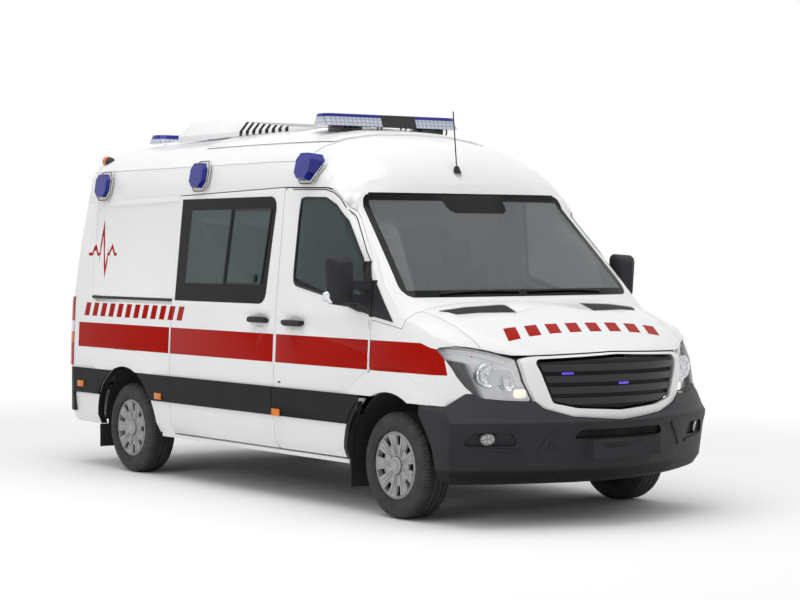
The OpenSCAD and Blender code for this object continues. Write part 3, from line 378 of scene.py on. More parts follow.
# Dark places in the paint: the corners by the mirrors, painted shade for the gap between door and wing
# there, a slot low on each cab door and the returns of the rear arches
SLOT_AT, SLOT_HALF = (0.417, 0.754), (0.017, 0.006)
sail_painted_shade = (limit(x, 1.392, 1.446) * limit(z, 1.195, 1.415)).max(
    limit(z, 1.36, 1.528) * (x + z * 0.333).above(1.800) * x.under(1.36)) * on_side
slot = (
    ((x - SLOT_AT[0]).abs() - SLOT_HALF[0]).under(0.0)
    * ((z - SLOT_AT[1]).abs() - SLOT_HALF[1]).under(0.0)
    * on_side
)
along, height = x - AXLE_REAR, z - AXLE_HEIGHT
in_arch = (along * along + height * height).sqrt().under(ARCH_RADIUS + 0.0015)
fleck = place.noise(900.0, 1.0)
dust = place.noise(2.2, 3.0)
white = dust.above(0.55, 0.5).mix(WHITE, tuple(0.975 * c for c in WHITE))
wire(
    shader,
    base_color=slot.max(sail_painted_shade).max(in_arch).mix(film.mix(white, RED), (0.02, 0.02, 0.02)),
    roughness=0.30 + dust * 0.08,
    coat_weight=0.4 - film.max(sail_painted_shade) * 0.4,
    normal=bumped(place, fleck, 0.02, 0.0004),
)


def only(piece):
    """Makes a piece the one selected and active object."""
    bpy.ops.object.select_all(action="DESELECT")
    piece.select_set(True)
    bpy.context.view_layer.objects.active = piece


def panel(name, material, edge=0.0025, angle=35):
    """Copy of a CAD piece with welded faces, softened edges and smooth shading, in its place."""
    node = nodes[name]
    piece = node.copy()
    piece.data = node.data.copy()
    piece.name = name + "_finished"
    for key in list(piece.keys()):
        del piece[key]
    scene.collection.objects.link(piece)
    piece.parent = None
    piece.matrix_world = Matrix.Identity(4)
    only(piece)
    bpy.ops.object.mode_set(mode="EDIT")
    bpy.ops.mesh.select_all(action="SELECT")
    bpy.ops.mesh.remove_doubles(threshold=0.00002)
    bpy.ops.mesh.dissolve_limited(angle_limit=math.radians(0.6))
    bpy.ops.object.mode_set(mode="OBJECT")
    if edge:
        bevel = piece.modifiers.new("edges", "BEVEL")
        bevel.width, bevel.segments, bevel.limit_method = edge, 2, "ANGLE"
        bevel.angle_limit = math.radians(angle)
        bpy.ops.object.modifier_apply(modifier="edges")
    bpy.ops.object.shade_smooth_by_angle(angle=math.radians(angle))
    piece.data.materials.clear()
    piece.data.materials.append(material)
    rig.ride(piece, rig.body_of(node)[0])
    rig.replaces(piece, name)


for name in (
    "body_side_l", "body_side_r", "roof", "roof_cap", "cab_frame", "front_wings", "sliding_door",
    "nose_panel", "front_door_l", "front_door_r", "rear_door_l", "rear_door_r", "bonnet",
):
    panel(name, paint, edge=0.0 if name in ("roof_cap", "cab_frame") else 0.0025)

# Unpainted plastic: bumpers, rub strips, mirrors, handles, mud flaps, wheel houses, wipers and
# antenna, injection moulded in charcoal with a fine leather grain, clipped and screwed to the shell.
CHARCOAL, CHARCOAL_WORN = (0.021, 0.0205, 0.024), (0.031, 0.030, 0.034)
# Painted light: a shade colour for the bumper's lowest band and the side rub strips, a highlight colour for its upward
# shelf, and a shade colour for the gaps between the lower slats.
CHARCOAL_PAINTED_SHADE, CHARCOAL_PAINTED_HIGHLIGHT, SLAT_PAINTED_SHADE = (0.006, 0.0057, 0.006), (0.044, 0.043, 0.050), (0.003, 0.003, 0.003)
AMBER = (0.75, 0.20, 0.02)
MARKER_X, MARKER_Z, MARKER_HALF = AXLE_FRONT - 1.206, 0.562, (0.046, 0.023)

plastic, shader, place, (x, y, z) = finish("charcoal_plastic", specular_ior_level=0.16)
grain = place.make("TexVoronoi", inputs={"Vector": place, "Scale": 700.0})
worn = place.noise(5.0, 4.0)
on_marker = (
    (x - MARKER_X).abs().under(MARKER_HALF[0])
    * (z - MARKER_Z).abs().under(MARKER_HALF[1])
    * y.abs().above(1.0112, 0.0005)
)
# Painted shade: the front bumper's band below 0.335 m is coloured darker; the rub strips along the sides take the same
# darker colour.
low = (y.abs().above(0.985) * x.under(1.3) * limit(z, 0.5, 0.73)).max(
    (1.0 - z.above(0.335, 0.02)) * x.above(2.0))
# Painted highlight: the bumper's shelf above the crease faces up and is coloured lighter.
shelf_painted_highlight = z.above(0.612, 0.006) * x.above(1.95, 0.05) * limit(y, -0.99, 0.99) * (1.0 - z.above(0.80))
# Painted shade: thin near-black diagonal lines low on the front bumper stand in for the shaded gaps between slats.
slat_gaps_painted_shade = limit(z, 0.255, 0.325) * limit(y, -0.46, 0.46) * x.above(2.2) * (y + z * 1.4).mod(0.115).under(0.016)
charcoal = worn.above(0.5, 0.6).mix(CHARCOAL, CHARCOAL_WORN)
moulded = shelf_painted_highlight.mix(low.mix(charcoal, CHARCOAL_PAINTED_SHADE), CHARCOAL_PAINTED_HIGHLIGHT)
wire(
    shader,
    base_color=on_marker.mix(slat_gaps_painted_shade.mix(moulded, SLAT_PAINTED_SHADE), AMBER),
    roughness=(0.44 + worn * 0.16) * (1.0 - on_marker * 0.7),
    normal=bumped(place, grain, 0.12, 0.0006),
)
for name in ("front_bumper", "rear_bumper", "lower_trim", "door_trim_l", "door_trim_r"):
    panel(name, plastic, edge=0.004, angle=20)
for name in ("plate_holder", "antenna", "wipers", "wheel_houses"):
    panel(name, plastic, edge=0.0)
panel("hinges", paint, edge=0.0)

# Bumper fittings: thin ledges under the fog lamps, the creases of the middle panel and the
# round cover over the towing eye, moulded in the bumper's own plastic.
surfaces = {}


def landed(node, start, way):
    """Point and outward normal where a straight look from start along way meets a CAD piece."""
    if node not in surfaces:
        mesh = nodes[node].data
        surfaces[node] = BVHTree.FromPolygons(
            [v.co for v in mesh.vertices], [p.vertices for p in mesh.polygons])
    way = Vector(way).normalized()
    point, normal, _, _ = surfaces[node].ray_cast(Vector(start), way)
    if point is None:
        raise ValueError(f"nothing of {node} from {tuple(start)} along {tuple(way)}")
    return point, (normal if normal.dot(way) < 0 else -normal)


def from_front(node, y, z, lift=0.0):
    """Point on a CAD piece seen straight from the front, lifted off it."""
    point, normal = landed(node, (4.0, y, z), (-1, 0, 0))
    return point + normal * lift


def from_side(node, side, x, z, lift=0.0):
    """Point on a CAD piece seen straight from one side, lifted off it."""
    point, normal = landed(node, (x, 2.0 * side, z), (0, -side, 0))
    return point + normal * lift


def made(piece, name, material, body="vehicle", slot="black_plastic"):
    """Names a new piece, gives it its finish and makes it ride on a body."""
    piece.name = piece.data.name = name
    piece.data.materials.clear()
    piece.data.materials.append(material)
    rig.ride(piece, body)
    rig.slot(piece, slot)


def faced(smooth):
    """Merges the doubled points of the new active piece, turns its faces outward and smooths its shading."""
    bpy.ops.object.mode_set(mode="EDIT")
    bpy.ops.mesh.select_all(action="SELECT")
    bpy.ops.mesh.remove_doubles(threshold=0.00001)
    bpy.ops.mesh.delete_loose(use_verts=True, use_edges=True, use_faces=False)
    bpy.ops.mesh.select_all(action="SELECT")
    bpy.ops.mesh.normals_make_consistent(inside=False)
    bpy.ops.object.mode_set(mode="OBJECT")
    bpy.ops.object.shade_smooth_by_angle(angle=math.radians(smooth))
    return bpy.context.object


def rods(lines, radius, closed=False, sides=1):
    """Round bars bent along lines of points, as one mesh."""
    curve = bpy.data.curves.new("bars", "CURVE")
    curve.dimensions, curve.bevel_depth, curve.bevel_resolution = "3D", radius, sides
    curve.use_fill_caps = True
    for line in lines:
        spline = curve.splines.new("POLY")
        spline.points.add(len(line) - 1)
        spline.use_cyclic_u = closed
        for point, at in zip(spline.points, line):
            point.co = (*at, 1.0)
    piece = bpy.data.objects.new("bars", curve)
    scene.collection.objects.link(piece)
    only(piece)
    bpy.ops.object.convert(target="MESH")
    return faced(50)


def between(first, last, count):
    """Evenly spaced points from first to last, both among them."""
    return [tuple(a + (b - a) * k / (count - 1) for a, b in zip(first, last)) for k in range(count)]


def turned(profile, steps):
    """Solid turned round the z axis from a closed profile of radius and height."""
    bpy.ops.mesh.primitive_circle_add(vertices=len(profile), fill_type="NOTHING")
    piece = bpy.context.object
    for vertex, (radius, height) in zip(piece.data.vertices, profile):
        vertex.co = (radius, 0.0, height)
    screw = piece.modifiers.new("turn", "SCREW")
    screw.steps = screw.render_steps = steps
    screw.use_merge_vertices = True
    bpy.ops.object.modifier_apply(modifier="turn")
    return faced(35)


def slab(outline, depth, edge):
    """Plate cut to an outline in x and y, standing from z = 0 to its depth, with softened edges."""
    bpy.ops.mesh.primitive_circle_add(vertices=len(outline), fill_type="NGON")
    piece = bpy.context.object
    for vertex, (u, v) in zip(piece.data.vertices, outline):
        vertex.co = (u, v, 0.0)
    bpy.ops.object.mode_set(mode="EDIT")
    bpy.ops.mesh.select_all(action="SELECT")
    bpy.ops.mesh.extrude_region_move(TRANSFORM_OT_translate={"value": (0, 0, depth)})
    bpy.ops.mesh.select_all(action="SELECT")
    bpy.ops.mesh.normals_make_consistent(inside=False)
    bpy.ops.object.mode_set(mode="OBJECT")
    bevel = piece.modifiers.new("edges", "BEVEL")
    bevel.width, bevel.segments = edge, 2
    bpy.ops.object.modifier_apply(modifier="edges")
    return faced(35)


def oval(half_u, half_v, power, count):
    """Outline of an oval; a higher power makes it squarer."""
    points = []
    for k in range(count):
        a = 2 * math.pi * k / count
        ways = (half_u, math.cos(a)), (half_v, math.sin(a))
        points.append(tuple(half * math.copysign(abs(w) ** (2 / power), w) for half, w in ways))
    return points


def stand(point, facing, up=(0, 0, 1)):
    """Frame at a point whose z axis looks along facing, with its y axis as near up as it goes."""
    out = Vector(facing).normalized()
    across = Vector(up).cross(out).normalized()
    return Matrix.Translation(point) @ Matrix((across, out.cross(across), out)).transposed().to_4x4()


def joined(pieces):
    """One mesh of several."""
    only(pieces[0])
    for piece in pieces:
        piece.select_set(True)
    bpy.ops.object.join()
    return pieces[0]


LEDGES = [([(0.900, 0.470), (0.640, 0.447)], 7), ([(0.548, 0.432), (0.49, 0.515), (0.43, 0.572)], 3)]
COVER_AT = (-0.463, 0.468)
ledges = []
for side, _ in SIDES:
    for points, count in LEDGES:
        line = []
        for a, b in zip(points, points[1:]):
            line += [from_front("front_bumper", side * u, v, 0.001) for u, v in between(a, b, count)]
        ledges.append(line)
made(rods(ledges, 0.009), "bumper_ledges", plastic)
cover_at, cover_normal = landed("front_bumper", (4.0, *COVER_AT), (-1, 0, 0))
cover = turned([
    (0, -0.004), (0.022, -0.004), (0.022, 0.002), (0.0205, 0.003), (0.0195, 0.001),
    (0.018, 0.0025), (0, 0.003),
], 32)
cover.data.transform(stand(cover_at, cover_normal))
made(cover, "towing_cover", plastic)

# Strip ends at the rear arches: black moulded pieces that carry the rub strips on to the edge of
# each rear wheel opening, clipped to the body side.
STRIP_LOW, STRIP_HIGH, STRIP_END, STRIP_OUT = 0.540, 0.722, 0.380, 1.0005
ARCH_GAP = 0.004


def sheet(rows, thick):
    """Plate of a given thickness with rows of points through its middle."""
    bpy.ops.mesh.primitive_grid_add(x_subdivisions=len(rows[0]) - 1, y_subdivisions=len(rows) - 1)
    piece = bpy.context.object
    for vertex, point in zip(piece.data.vertices, (point for row in rows for point in row)):
        vertex.co = point
    solid = piece.modifiers.new("thickness", "SOLIDIFY")
    solid.thickness, solid.offset = thick, 0.0
    bpy.ops.object.modifier_apply(modifier="thickness")
    return faced(35)


for side, letter in SIDES:
    ends = []
    for way in (-1, 1):
        rows = []
        for (v,) in between((STRIP_LOW + 0.002,), (STRIP_HIGH,), 9):
            inner = min(math.sqrt((ARCH_RADIUS + ARCH_GAP) ** 2 - (v - AXLE_HEIGHT) ** 2), STRIP_END - 0.004)
            rows.append([
                (AXLE_REAR + way * u, side * STRIP_OUT, v) for (u,) in between((inner,), (STRIP_END,), 7)])
        ends.append(sheet(rows, 0.016))
    made(joined(ends), "strip_ends_" + letter, plastic)

# Door grips: thick rounded bars of black plastic moulded over the handles of the side doors.
GRIP = [
    (0, -0.112), (0.010, -0.110), (0.016, -0.103), (0.0195, -0.082), (0.0205, 0),
    (0.0195, 0.082), (0.016, 0.103), (0.010, 0.110), (0, 0.112),
]
GRIP_DEPTH = 0.015
for name, node, side, at_x, at_z, body in (
    ("door_grip_r", "door_trim_r", -1, 0.5805, 1.138, "door_r"),
    ("door_grip_l", "door_trim_l", 1, 0.5805, 1.138, "door_l"),
    ("slide_grip", "lower_trim", -1, 0.1665, 1.141, "vehicle"),
):
    grip = turned(GRIP, 24)
    grip_at = from_side(node, side, at_x, at_z, -GRIP_DEPTH)
    grip.data.transform(Matrix.Translation(grip_at) @ Matrix.Rotation(math.radians(90), 4, "Y"))
    made(grip, name, plastic, body)

# Glass: laminated windscreen and tempered side panes, tinted grey-green, bonded in on a black
# printed border that hides the adhesive.
TINT, PRINT = (0.022, 0.046, 0.050), (0.004, 0.004, 0.005)
SCREEN_TINT, SLIDE_TINT = (0.15, 0.17, 0.175), (0.045, 0.074, 0.076)
SCREEN = [(-0.893, 1.312), (0.893, 1.312), (0.782, 1.945), (-0.782, 1.945)]
SLIDE_CLEAR = [(-0.835, 1.368), (0.150, 1.368), (0.212, 1.862), (-0.815, 1.862)]
DOOR_WINDOW = [
    (0.5247, 1.4515), (0.5286, 1.4164), (0.5424, 1.3894), (0.5662, 1.3707), (0.600, 1.3601), (0.9615, 1.300),
    (1.2755, 1.222), (1.3425, 1.222), (1.3625, 1.330), (1.2925, 1.540),
    (1.0875, 1.775), (0.9525, 1.876), (0.8325, 1.924), (0.5385, 1.932),
]


def past_edge(u, v, corners):
    """How far a point lies outside the nearest edge of a window's outline, negative inside it."""
    far = None
    for (u0, v0), (u1, v1) in zip(corners, corners[1:] + corners[:1]):
        length = math.hypot(u1 - u0, v1 - v0)
        side = (u - u0) * ((v1 - v0) / length) + (v - v0) * ((u0 - u1) / length)
        far = side if far is None else far.max(side)
    return far


def glass_finish(name, clear, border, tint=TINT):
    """Tinted glass with a printed border; border takes x, y, z and gives a mask that is 1 on the print.

    A pair of clear or tint values is for the windscreen and for the panes behind the cab.
    """
    material, shader, place, axes = finish(name, coat_roughness=0.01, specular_ior_level=0.08)
    printed = border(*axes)
    if isinstance(clear, tuple):
        behind = 1.0 - axes[0].above(0.6)
        clear, tint = clear[0] + behind * (clear[1] - clear[0]), behind.mix(*tint)
    smear = place.noise(6.0, 2.0)
    wire(
        shader,
        base_color=printed.mix(tint, PRINT),
        alpha=printed.max(clear),
        coat_weight=0.6 - printed * 0.5,
        roughness=0.02 + smear * 0.05,
    )
    return material


def rounded_box(u, v, centre, half, radius):
    """Signed distance from a rounded rectangle's edge, negative inside."""
    du, dv = ((w - c).abs() - (h - radius) for w, c, h in zip((u, v), centre, half))
    outside = (du.max(0.0) * du.max(0.0) + dv.max(0.0) * dv.max(0.0)).sqrt()
    return outside + du.max(dv).min(0.0) - radius


def fixed_border(x, y, z):
    on_side = y.under(-0.85) * x.under(0.4)
    screen = past_edge(y, z, SCREEN).above(-0.042, 0.004).max(z.above(1.905, 0.004))
    sensor = rounded_box(y, z, (0.02, 1.93), (0.24, 0.105), 0.06).above(0.0, 0.004)
    screen = screen.max(1.0 - sensor)
    return on_side * past_edge(x, z, SLIDE_CLEAR).above(0.0, 0.004) + (1.0 - on_side) * screen


fixed_pane = glass_finish("fixed_pane", (0.48, 0.66), fixed_border, (SCREEN_TINT, SLIDE_TINT))
panel("fixed_glass", fixed_pane, edge=0.0)
door_pane = glass_finish(
    "door_pane", 0.62, lambda x, y, z: past_edge(x, z, DOOR_WINDOW).above(-0.016, 0.002))
for name in ("door_glass_l", "door_glass_r"):
    panel(name, door_pane, edge=0.0)
rear_pane = glass_finish(
    "rear_pane", 0.8,
    lambda x, y, z: rounded_box(y.abs(), z, (0.41, 1.5575), (0.255, 0.28), 0.04).above(0.0, 0.003))
for name in ("rear_glass_l", "rear_glass_r"):
    panel(name, rear_pane, edge=0.0)

# Sliding pane in the side window: a black anodised divider and thin frame rails bonded to the
# glass, with a latch in the pane's lower corner.
rubber_trim, shader, place, (x, y, z) = finish("black_trim", specular_ior_level=0.3)
worn = place.noise(30.0, 3.0)
wire(
    shader,
    base_color=worn.above(0.5, 0.5).mix((0.008, 0.008, 0.009), (0.014, 0.014, 0.015)),
    roughness=0.35 + worn * 0.2,
)


def on_pane(points, count=6):
    line = []
    for a, b in zip(points, points[1:]):
        line += [from_side("fixed_glass", -1, u, v, 0.001) for u, v in between(a, b, count)]
    return line


divider = rods([on_pane([(-0.315, 1.366), (-0.276, 1.864)])], 0.013, sides=2)
frame_rails = rods([
    on_pane([(-0.295, 1.372), (0.140, 1.372)]), on_pane([(0.146, 1.372), (0.205, 1.858)]),
    on_pane([(0.205, 1.858), (-0.270, 1.858)]),
], 0.006)
made(joined([divider, frame_rails]), "pane_frame", rubber_trim)
latch = slab(oval(0.022, 0.026, 5.0, 20), 0.012, 0.004)
latch_at, latch_way = landed("fixed_glass", (0.065, -2.0, 1.408), (0, 1, 0))
latch.data.transform(stand(latch_at - latch_way * 0.001, latch_way))
made(latch, "pane_latch", rubber_trim)

# Window seals: extruded black rubber round the cab doors' glass, bent round its corners.
WINDOW_MIDDLE = Vector((0.93, 1.6))


def edge_line(node, side, spots, way, insets, lift):
    """Points on a CAD piece near some spots, each drawn in by the first inset that meets the piece."""
    line = []
    for spot in map(Vector, spots):
        for inset in insets:
            try:
                line.append(from_side(node, side, *(spot + way(spot) * inset), lift))
                break
            except ValueError:
                continue
    return line


rim = [spot for a, b in zip(DOOR_WINDOW, DOOR_WINDOW[1:] + DOOR_WINDOW[:1]) for spot in between(a, b, 5)[:-1]]
for side, letter in SIDES:
    line = edge_line(
        "door_glass_" + letter, side, rim, lambda spot: (WINDOW_MIDDLE - spot).normalized(),
        (0.010, 0.016, 0.024, 0.034, 0.05), 0.002)
    made(rods([line], 0.007, closed=True), "door_seal_" + letter, rubber_trim, "door_" + letter)

# Weatherstrips: black rubber lips along the upper and front edges of the cab doors, and the runner
# of the sliding door in its channel, capped in the same rubber.
DOOR_EDGE = [
    (0.3565, 1.984), (0.8125, 1.973), (0.8970, 1.955), (0.9810, 1.913), (1.1190, 1.786), (1.3500, 1.533),
    (1.4110, 1.380),
]
rim = [spot for a, b in zip(DOOR_EDGE, DOOR_EDGE[1:]) for spot in between(a, b, 6)]
for side, letter in SIDES:
    line = edge_line(
        "front_door_" + letter, side, rim, lambda spot: Vector((-0.6, -0.8)),
        (0.002, 0.006, 0.012, 0.02), 0.0005)
    made(rods([line], 0.0035), "door_lip_" + letter, rubber_trim, "door_" + letter)
runner = [from_side("body_side_r", -1, u, 1.247, 0.002) for u in (-2.15, -1.8, -1.4, -1.03)]
made(rods([runner], 0.012, sides=2), "door_runner", rubber_trim)

# Tyres: black rubber on four wheels, with ring ribs on the sidewall and cross cuts on the
# shoulders of the tread, dulled by road dust.
RUBBER, ROAD_DUST = (0.027, 0.0265, 0.027), (0.060, 0.057, 0.053)
TYRE_MIDDLE, TREAD_CUTS = 0.848, 88

rubber, shader, place, (x, y, z) = finish("tyre_rubber", specular_ior_level=0.3)
along = x - (AXLE_REAR + x.above(0.0) * (AXLE_FRONT - AXLE_REAR))
height = z - AXLE_HEIGHT
reach = (along * along + height * height).sqrt()
turn = height.math("ARCTAN2", along)
outward = y.abs() - TYRE_MIDDLE
# Painted shade: the cross cuts on the tread shoulders are coloured near black as well as sunk by the bump.
cuts = (turn * (TREAD_CUTS / (2 * math.pi))).mod(1.0).under(0.16)
cuts = cuts * reach.above(0.302, 0.004) * outward.abs().above(0.058, 0.004)
rings = limit(reach, 0.216, 0.222, 0.002)
for low, high in ((0.272, 0.276), (0.286, 0.289)):
    rings = rings.max(limit(reach, low, high, 0.002))
dust = place.noise(14.0, 4.0)
dusty = dust.above(0.52, 0.35) * (0.35 + limit(reach, 0.255, 0.315, 0.04) * 0.5)
wire(
    shader,
    base_color=cuts.mix(dusty.mix(RUBBER, ROAD_DUST), (0.006, 0.006, 0.006)),
    roughness=0.55 + dust * 0.3,
    normal=bumped(place, rings * 0.6 - cuts + dust * 0.15, 0.8, 0.0025),
)
for name in ("tyre_fl", "tyre_fr", "tyre_rl", "tyre_rr"):
    panel(name, rubber, edge=0.0)

# Wheel covers: silver-painted plastic discs clipped to the steel rims, with nine windows onto painted
# shade behind them, raised ribs on the spokes and a stepped hub with five bosses.
SILVER, WINDOW_PAINTED_SHADE = (0.37, 0.375, 0.37), (0.012, 0.012, 0.012)
WINDOWS, BOSSES = 9, 5
RIB = [
    (0.064, -0.003), (0.118, -0.004), (0.178, -0.005), (0.180, 0.0),
    (0.178, 0.005), (0.118, 0.004), (0.064, 0.003),
]

silver, shader, place, (x, y, z) = finish("silver_cover", metallic=0.25, specular_ior_level=0.4)
along = x - (AXLE_REAR + x.above(0.0) * (AXLE_FRONT - AXLE_REAR))
height = z - AXLE_HEIGHT
reach = (along * along + height * height).sqrt()
# Painted shade: all of the rim deeper than the cover's face, seen through the windows, and two ring grooves are
# coloured near black.
deep_painted_shade = 1.0 - (y.abs() - TYRE_MIDDLE).above(0.056, 0.008)
soot = place.noise(18.0, 4.0)
dull = soot.above(0.55, 0.4) * 0.6
groove_painted_shade = limit(reach, 0.0525, 0.057, 0.001).max(limit(reach, 0.187, 0.190, 0.001))
wire(
    shader,
    base_color=deep_painted_shade.max(groove_painted_shade * 0.8).mix(dull.mix(SILVER, (0.27, 0.27, 0.26)), WINDOW_PAINTED_SHADE),
    roughness=0.36 + soot * 0.18,
    normal=bumped(place, soot, 0.03, 0.0005),
)
for name in ("rim_fl", "rim_fr", "rim_rl", "rim_rr"):
    panel(name, silver, edge=0.003)

ribs = []
for k in range(WINDOWS):
    for lean in (-1, 1):
        rib = slab(RIB, 0.007, 0.002)
        rib.data.transform(
            Matrix.Rotation(2 * math.pi * (k + 0.5) / WINDOWS + lean * 0.095, 4, "Z")
            @ Matrix.Translation((0, 0, 0.0685)) @ Matrix.Rotation(-0.105, 4, "Y"))
        ribs.append(rib)
    lip = slab([(0.112, -0.020), (0.121, -0.0215), (0.121, 0.0215), (0.112, 0.020)], 0.008, 0.003)
    lip.data.transform(Matrix.Rotation(2 * math.pi * k / WINDOWS, 4, "Z") @ Matrix.Translation((0, 0, 0.077)))
    ribs.append(lip)
for k in range(BOSSES):
    boss = turned([(0, 0.07), (0.010, 0.07), (0.010, 0.084), (0.007, 0.088), (0, 0.088)], 16)
    boss.data.transform(Matrix.Rotation(2 * math.pi * k / BOSSES, 4, "Z") @ Matrix.Translation((0.078, 0, 0)))
    ribs.append(boss)
ribs.append(turned([
    (0, 0.082), (0.050, 0.082), (0.050, 0.090), (0.046, 0.0945), (0.036, 0.0945),
    (0.034, 0.092), (0.030, 0.092), (0.028, 0.097), (0, 0.099),
], 48))
ribs.append(turned([(0.184, 0.088), (0.191, 0.088), (0.191, 0.0945), (0.188, 0.097), (0.184, 0.0945)], 72))
pattern = joined(ribs)
for name, at_x, side in (
    ("fl", AXLE_FRONT, 1), ("fr", AXLE_FRONT, -1), ("rl", AXLE_REAR, 1), ("rr", AXLE_REAR, -1),
):
    dressing = pattern.copy()
    dressing.data = pattern.data.copy()
    scene.collection.objects.link(dressing)
    dressing.data.transform(
        Matrix.Translation((at_x, side * TYRE_MIDDLE, AXLE_HEIGHT))
        @ Matrix.Rotation(math.radians(-90 * side), 4, "X"))
    made(dressing, "cover_ribs_" + name, silver, "wheel_" + name, "wheel_cover")
bpy.data.objects.remove(pattern)

# Headlamps: a moulded housing, dark at its outer side and bright within, with a fluted main
# reflector, a second smaller one, a white daytime lamp low at the inner end and an amber bulb
# under the upper light guide, all behind a clear lens.
CHROME, LAMP_DARK, LAMP_WHITE = (0.66, 0.67, 0.69), (0.030, 0.031, 0.034), (0.80, 0.81, 0.82)

bright, shader, place, (x, y, z) = finish("lamp_chrome", metallic=0.85, specular_ior_level=0.6)
dark = (y.abs() - (z - 0.80) * 0.23).above(0.802, 0.03)
pale = (z - y.abs() * 0.245).above(0.742, 0.012)
pale = pale.max((0.671 - (0.968 - z) * 0.34 - y.abs()).above(0.0, 0.012) * z.above(0.815, 0.01))
flutes = (y * 90.0).mod(1.0)
haze = place.noise(25.0, 2.0)
plated = haze.above(0.5, 0.8).mix(CHROME, (0.48, 0.49, 0.51))
wire(
    shader,
    base_color=pale.mix(dark.mix(plated, LAMP_DARK), LAMP_WHITE),
    metallic=0.85 * (1.0 - dark.max(pale)),
    roughness=0.16 + dark * 0.3 + haze * 0.08,
    normal=bumped(place, (flutes - 0.5).abs(), 0.35, 0.004),
)
panel("headlamp_housings", bright, edge=0.0)

mirror_bowl, shader, place, (x, y, z) = finish("reflector_bowl", metallic=1.0, roughness=0.08)
facets = place.make("TexVoronoi", {"feature": "DISTANCE_TO_EDGE"}, {"Vector": place, "Scale": 55.0})
wire(
    shader,
    base_color=facets.above(0.06, 0.1).mix((0.42, 0.43, 0.45), (0.80, 0.81, 0.83)),
    normal=bumped(place, facets, 0.5, 0.004),
)

white_lamp, shader, place, (x, y, z) = finish("daytime_lamp", roughness=0.2, emission_strength=0.55)
prisms = y.ripple(160.0) + z.ripple(160.0)
wire(
    shader,
    base_color=prisms.above(0.5, 0.6).mix((0.85, 0.78, 0.66), (0.95, 0.93, 0.88)),
    emission_color=prisms.above(0.5, 0.6).mix((1.0, 0.80, 0.55), (1.0, 0.95, 0.86)),
)

guide, shader, place, (x, y, z) = finish("light_guide", roughness=0.25, coat_weight=0.6)
teeth = (y * 70.0 + x * 70.0).mod(1.0)
wire(
    shader,
    base_color=teeth.above(0.5, 0.7).mix((0.70, 0.71, 0.73), (0.86, 0.87, 0.89)),
    normal=bumped(place, teeth, 0.3, 0.002),
)

amber, shader, place, (x, y, z) = finish("amber_lens", roughness=0.15, coat_weight=1.0)
ribs = ((z + x * 0.5) * 220.0).mod(1.0)
wire(
    shader,
    base_color=ribs.above(0.5, 0.5).mix((0.62, 0.15, 0.012), (0.82, 0.26, 0.03)),
    normal=bumped(place, (ribs - 0.5).abs(), 0.4, 0.001),
)


def lamp_face(side, y, z):
    """Frame on a headlamp's housing, looking forward and a little outward as the lamp does."""
    return stand(from_front("headlamp_housings", side * y, z), (1.0, side * 0.22, 0.03))


BOWL = [
    (0, 0.003), (0.030, 0.004), (0.050, 0.010), (0.064, 0.022), (0.068, 0.0225), (0.0705, 0.019),
    (0.0705, -0.03), (0, -0.03),
]
SMALL_BOWL = [
    (0, 0.003), (0.020, 0.004), (0.034, 0.010), (0.041, 0.017), (0.044, 0.017), (0.045, 0.014),
    (0.045, -0.03), (0, -0.03),
]
CAP = [(0, -0.005), (0.013, -0.005), (0.013, 0.013), (0.010, 0.0165), (0, 0.0175)]
BULB = [(0, -0.006), (0.011, -0.006), (0.013, 0.004), (0.010, 0.011), (0.004, 0.015), (0, 0.0155)]
GUIDE_LINE = [(0.905, 1.018), (0.86, 1.016), (0.81, 1.008), (0.76, 0.993), (0.71, 0.976), (0.665, 0.957)]
BOWL_AT, SMALL_BOWL_AT, DAY_AT, BULB_AT = (0.757, 0.878), (0.668, 0.832), (0.606, 0.773), (0.806, 0.992)
for side, letter in SIDES:
    bowls = []
    for profile, at in ((BOWL, BOWL_AT), (SMALL_BOWL, SMALL_BOWL_AT), (CAP, BOWL_AT)):
        bowl = turned(profile, 40)
        bowl.data.transform(lamp_face(side, *at))
        bowls.append(bowl)
    made(joined(bowls), "reflector_" + letter, mirror_bowl, slot="reflector")
    day = slab(oval(0.041, 0.027, 3.5, 24), 0.016, 0.005)
    day.data.transform(lamp_face(side, *DAY_AT))
    made(day, "daytime_lamp_" + letter, white_lamp, slot="clear_lens")
    bulb = turned(BULB, 20)
    bulb.data.transform(lamp_face(side, *BULB_AT))
    made(bulb, "turn_bulb_" + letter, amber, slot="amber_lens")
    strips = []
    for drop in (0.0, 0.014):
        strips.append([from_front("headlamp_housings", side * u, v - drop, 0.004) for u, v in GUIDE_LINE])
    made(rods(strips, 0.0085, sides=2), "light_guide_" + letter, guide, slot="clear_lens")

lens, shader, place, (x, y, z) = finish(
    "clear_lens", roughness=0.02, coat_weight=0.4, coat_roughness=0.01, specular_ior_level=0.4)
fog = 1.0 - z.above(0.62)
cut = place.make("TexVoronoi", {"feature": "DISTANCE_TO_EDGE"}, {"Vector": place, "Scale": 38.0})
wire(
    shader,
    base_color=fog.mix((0.30, 0.31, 0.33), cut.above(0.05, 0.1).mix((0.02, 0.02, 0.02), (0.34, 0.34, 0.34))),
    alpha=fog.max(0.07),
    metallic=fog * 0.7,
    normal=bumped(place, cut * fog, 0.5, 0.003),
)
panel("front_lenses", lens, edge=0.0)

# Fog lamp surrounds: black moulded rings pressed into the bumper's pockets round the lenses.
FOG_AT = (0.805, 0.518)
for side, letter in SIDES:
    point, normal = landed("front_lenses", (4.0, side * FOG_AT[0], FOG_AT[1]), (-1, 0, 0))
    ring = turned([(0.036, -0.014), (0.047, -0.014), (0.046, 0.004), (0.042, 0.008), (0.0375, 0.005)], 40)
    ring.data.transform(stand(point, normal) @ Matrix.Diagonal((1.12, 0.92, 1.0, 1.0)))
    made(ring, "fog_ring_" + letter, plastic)

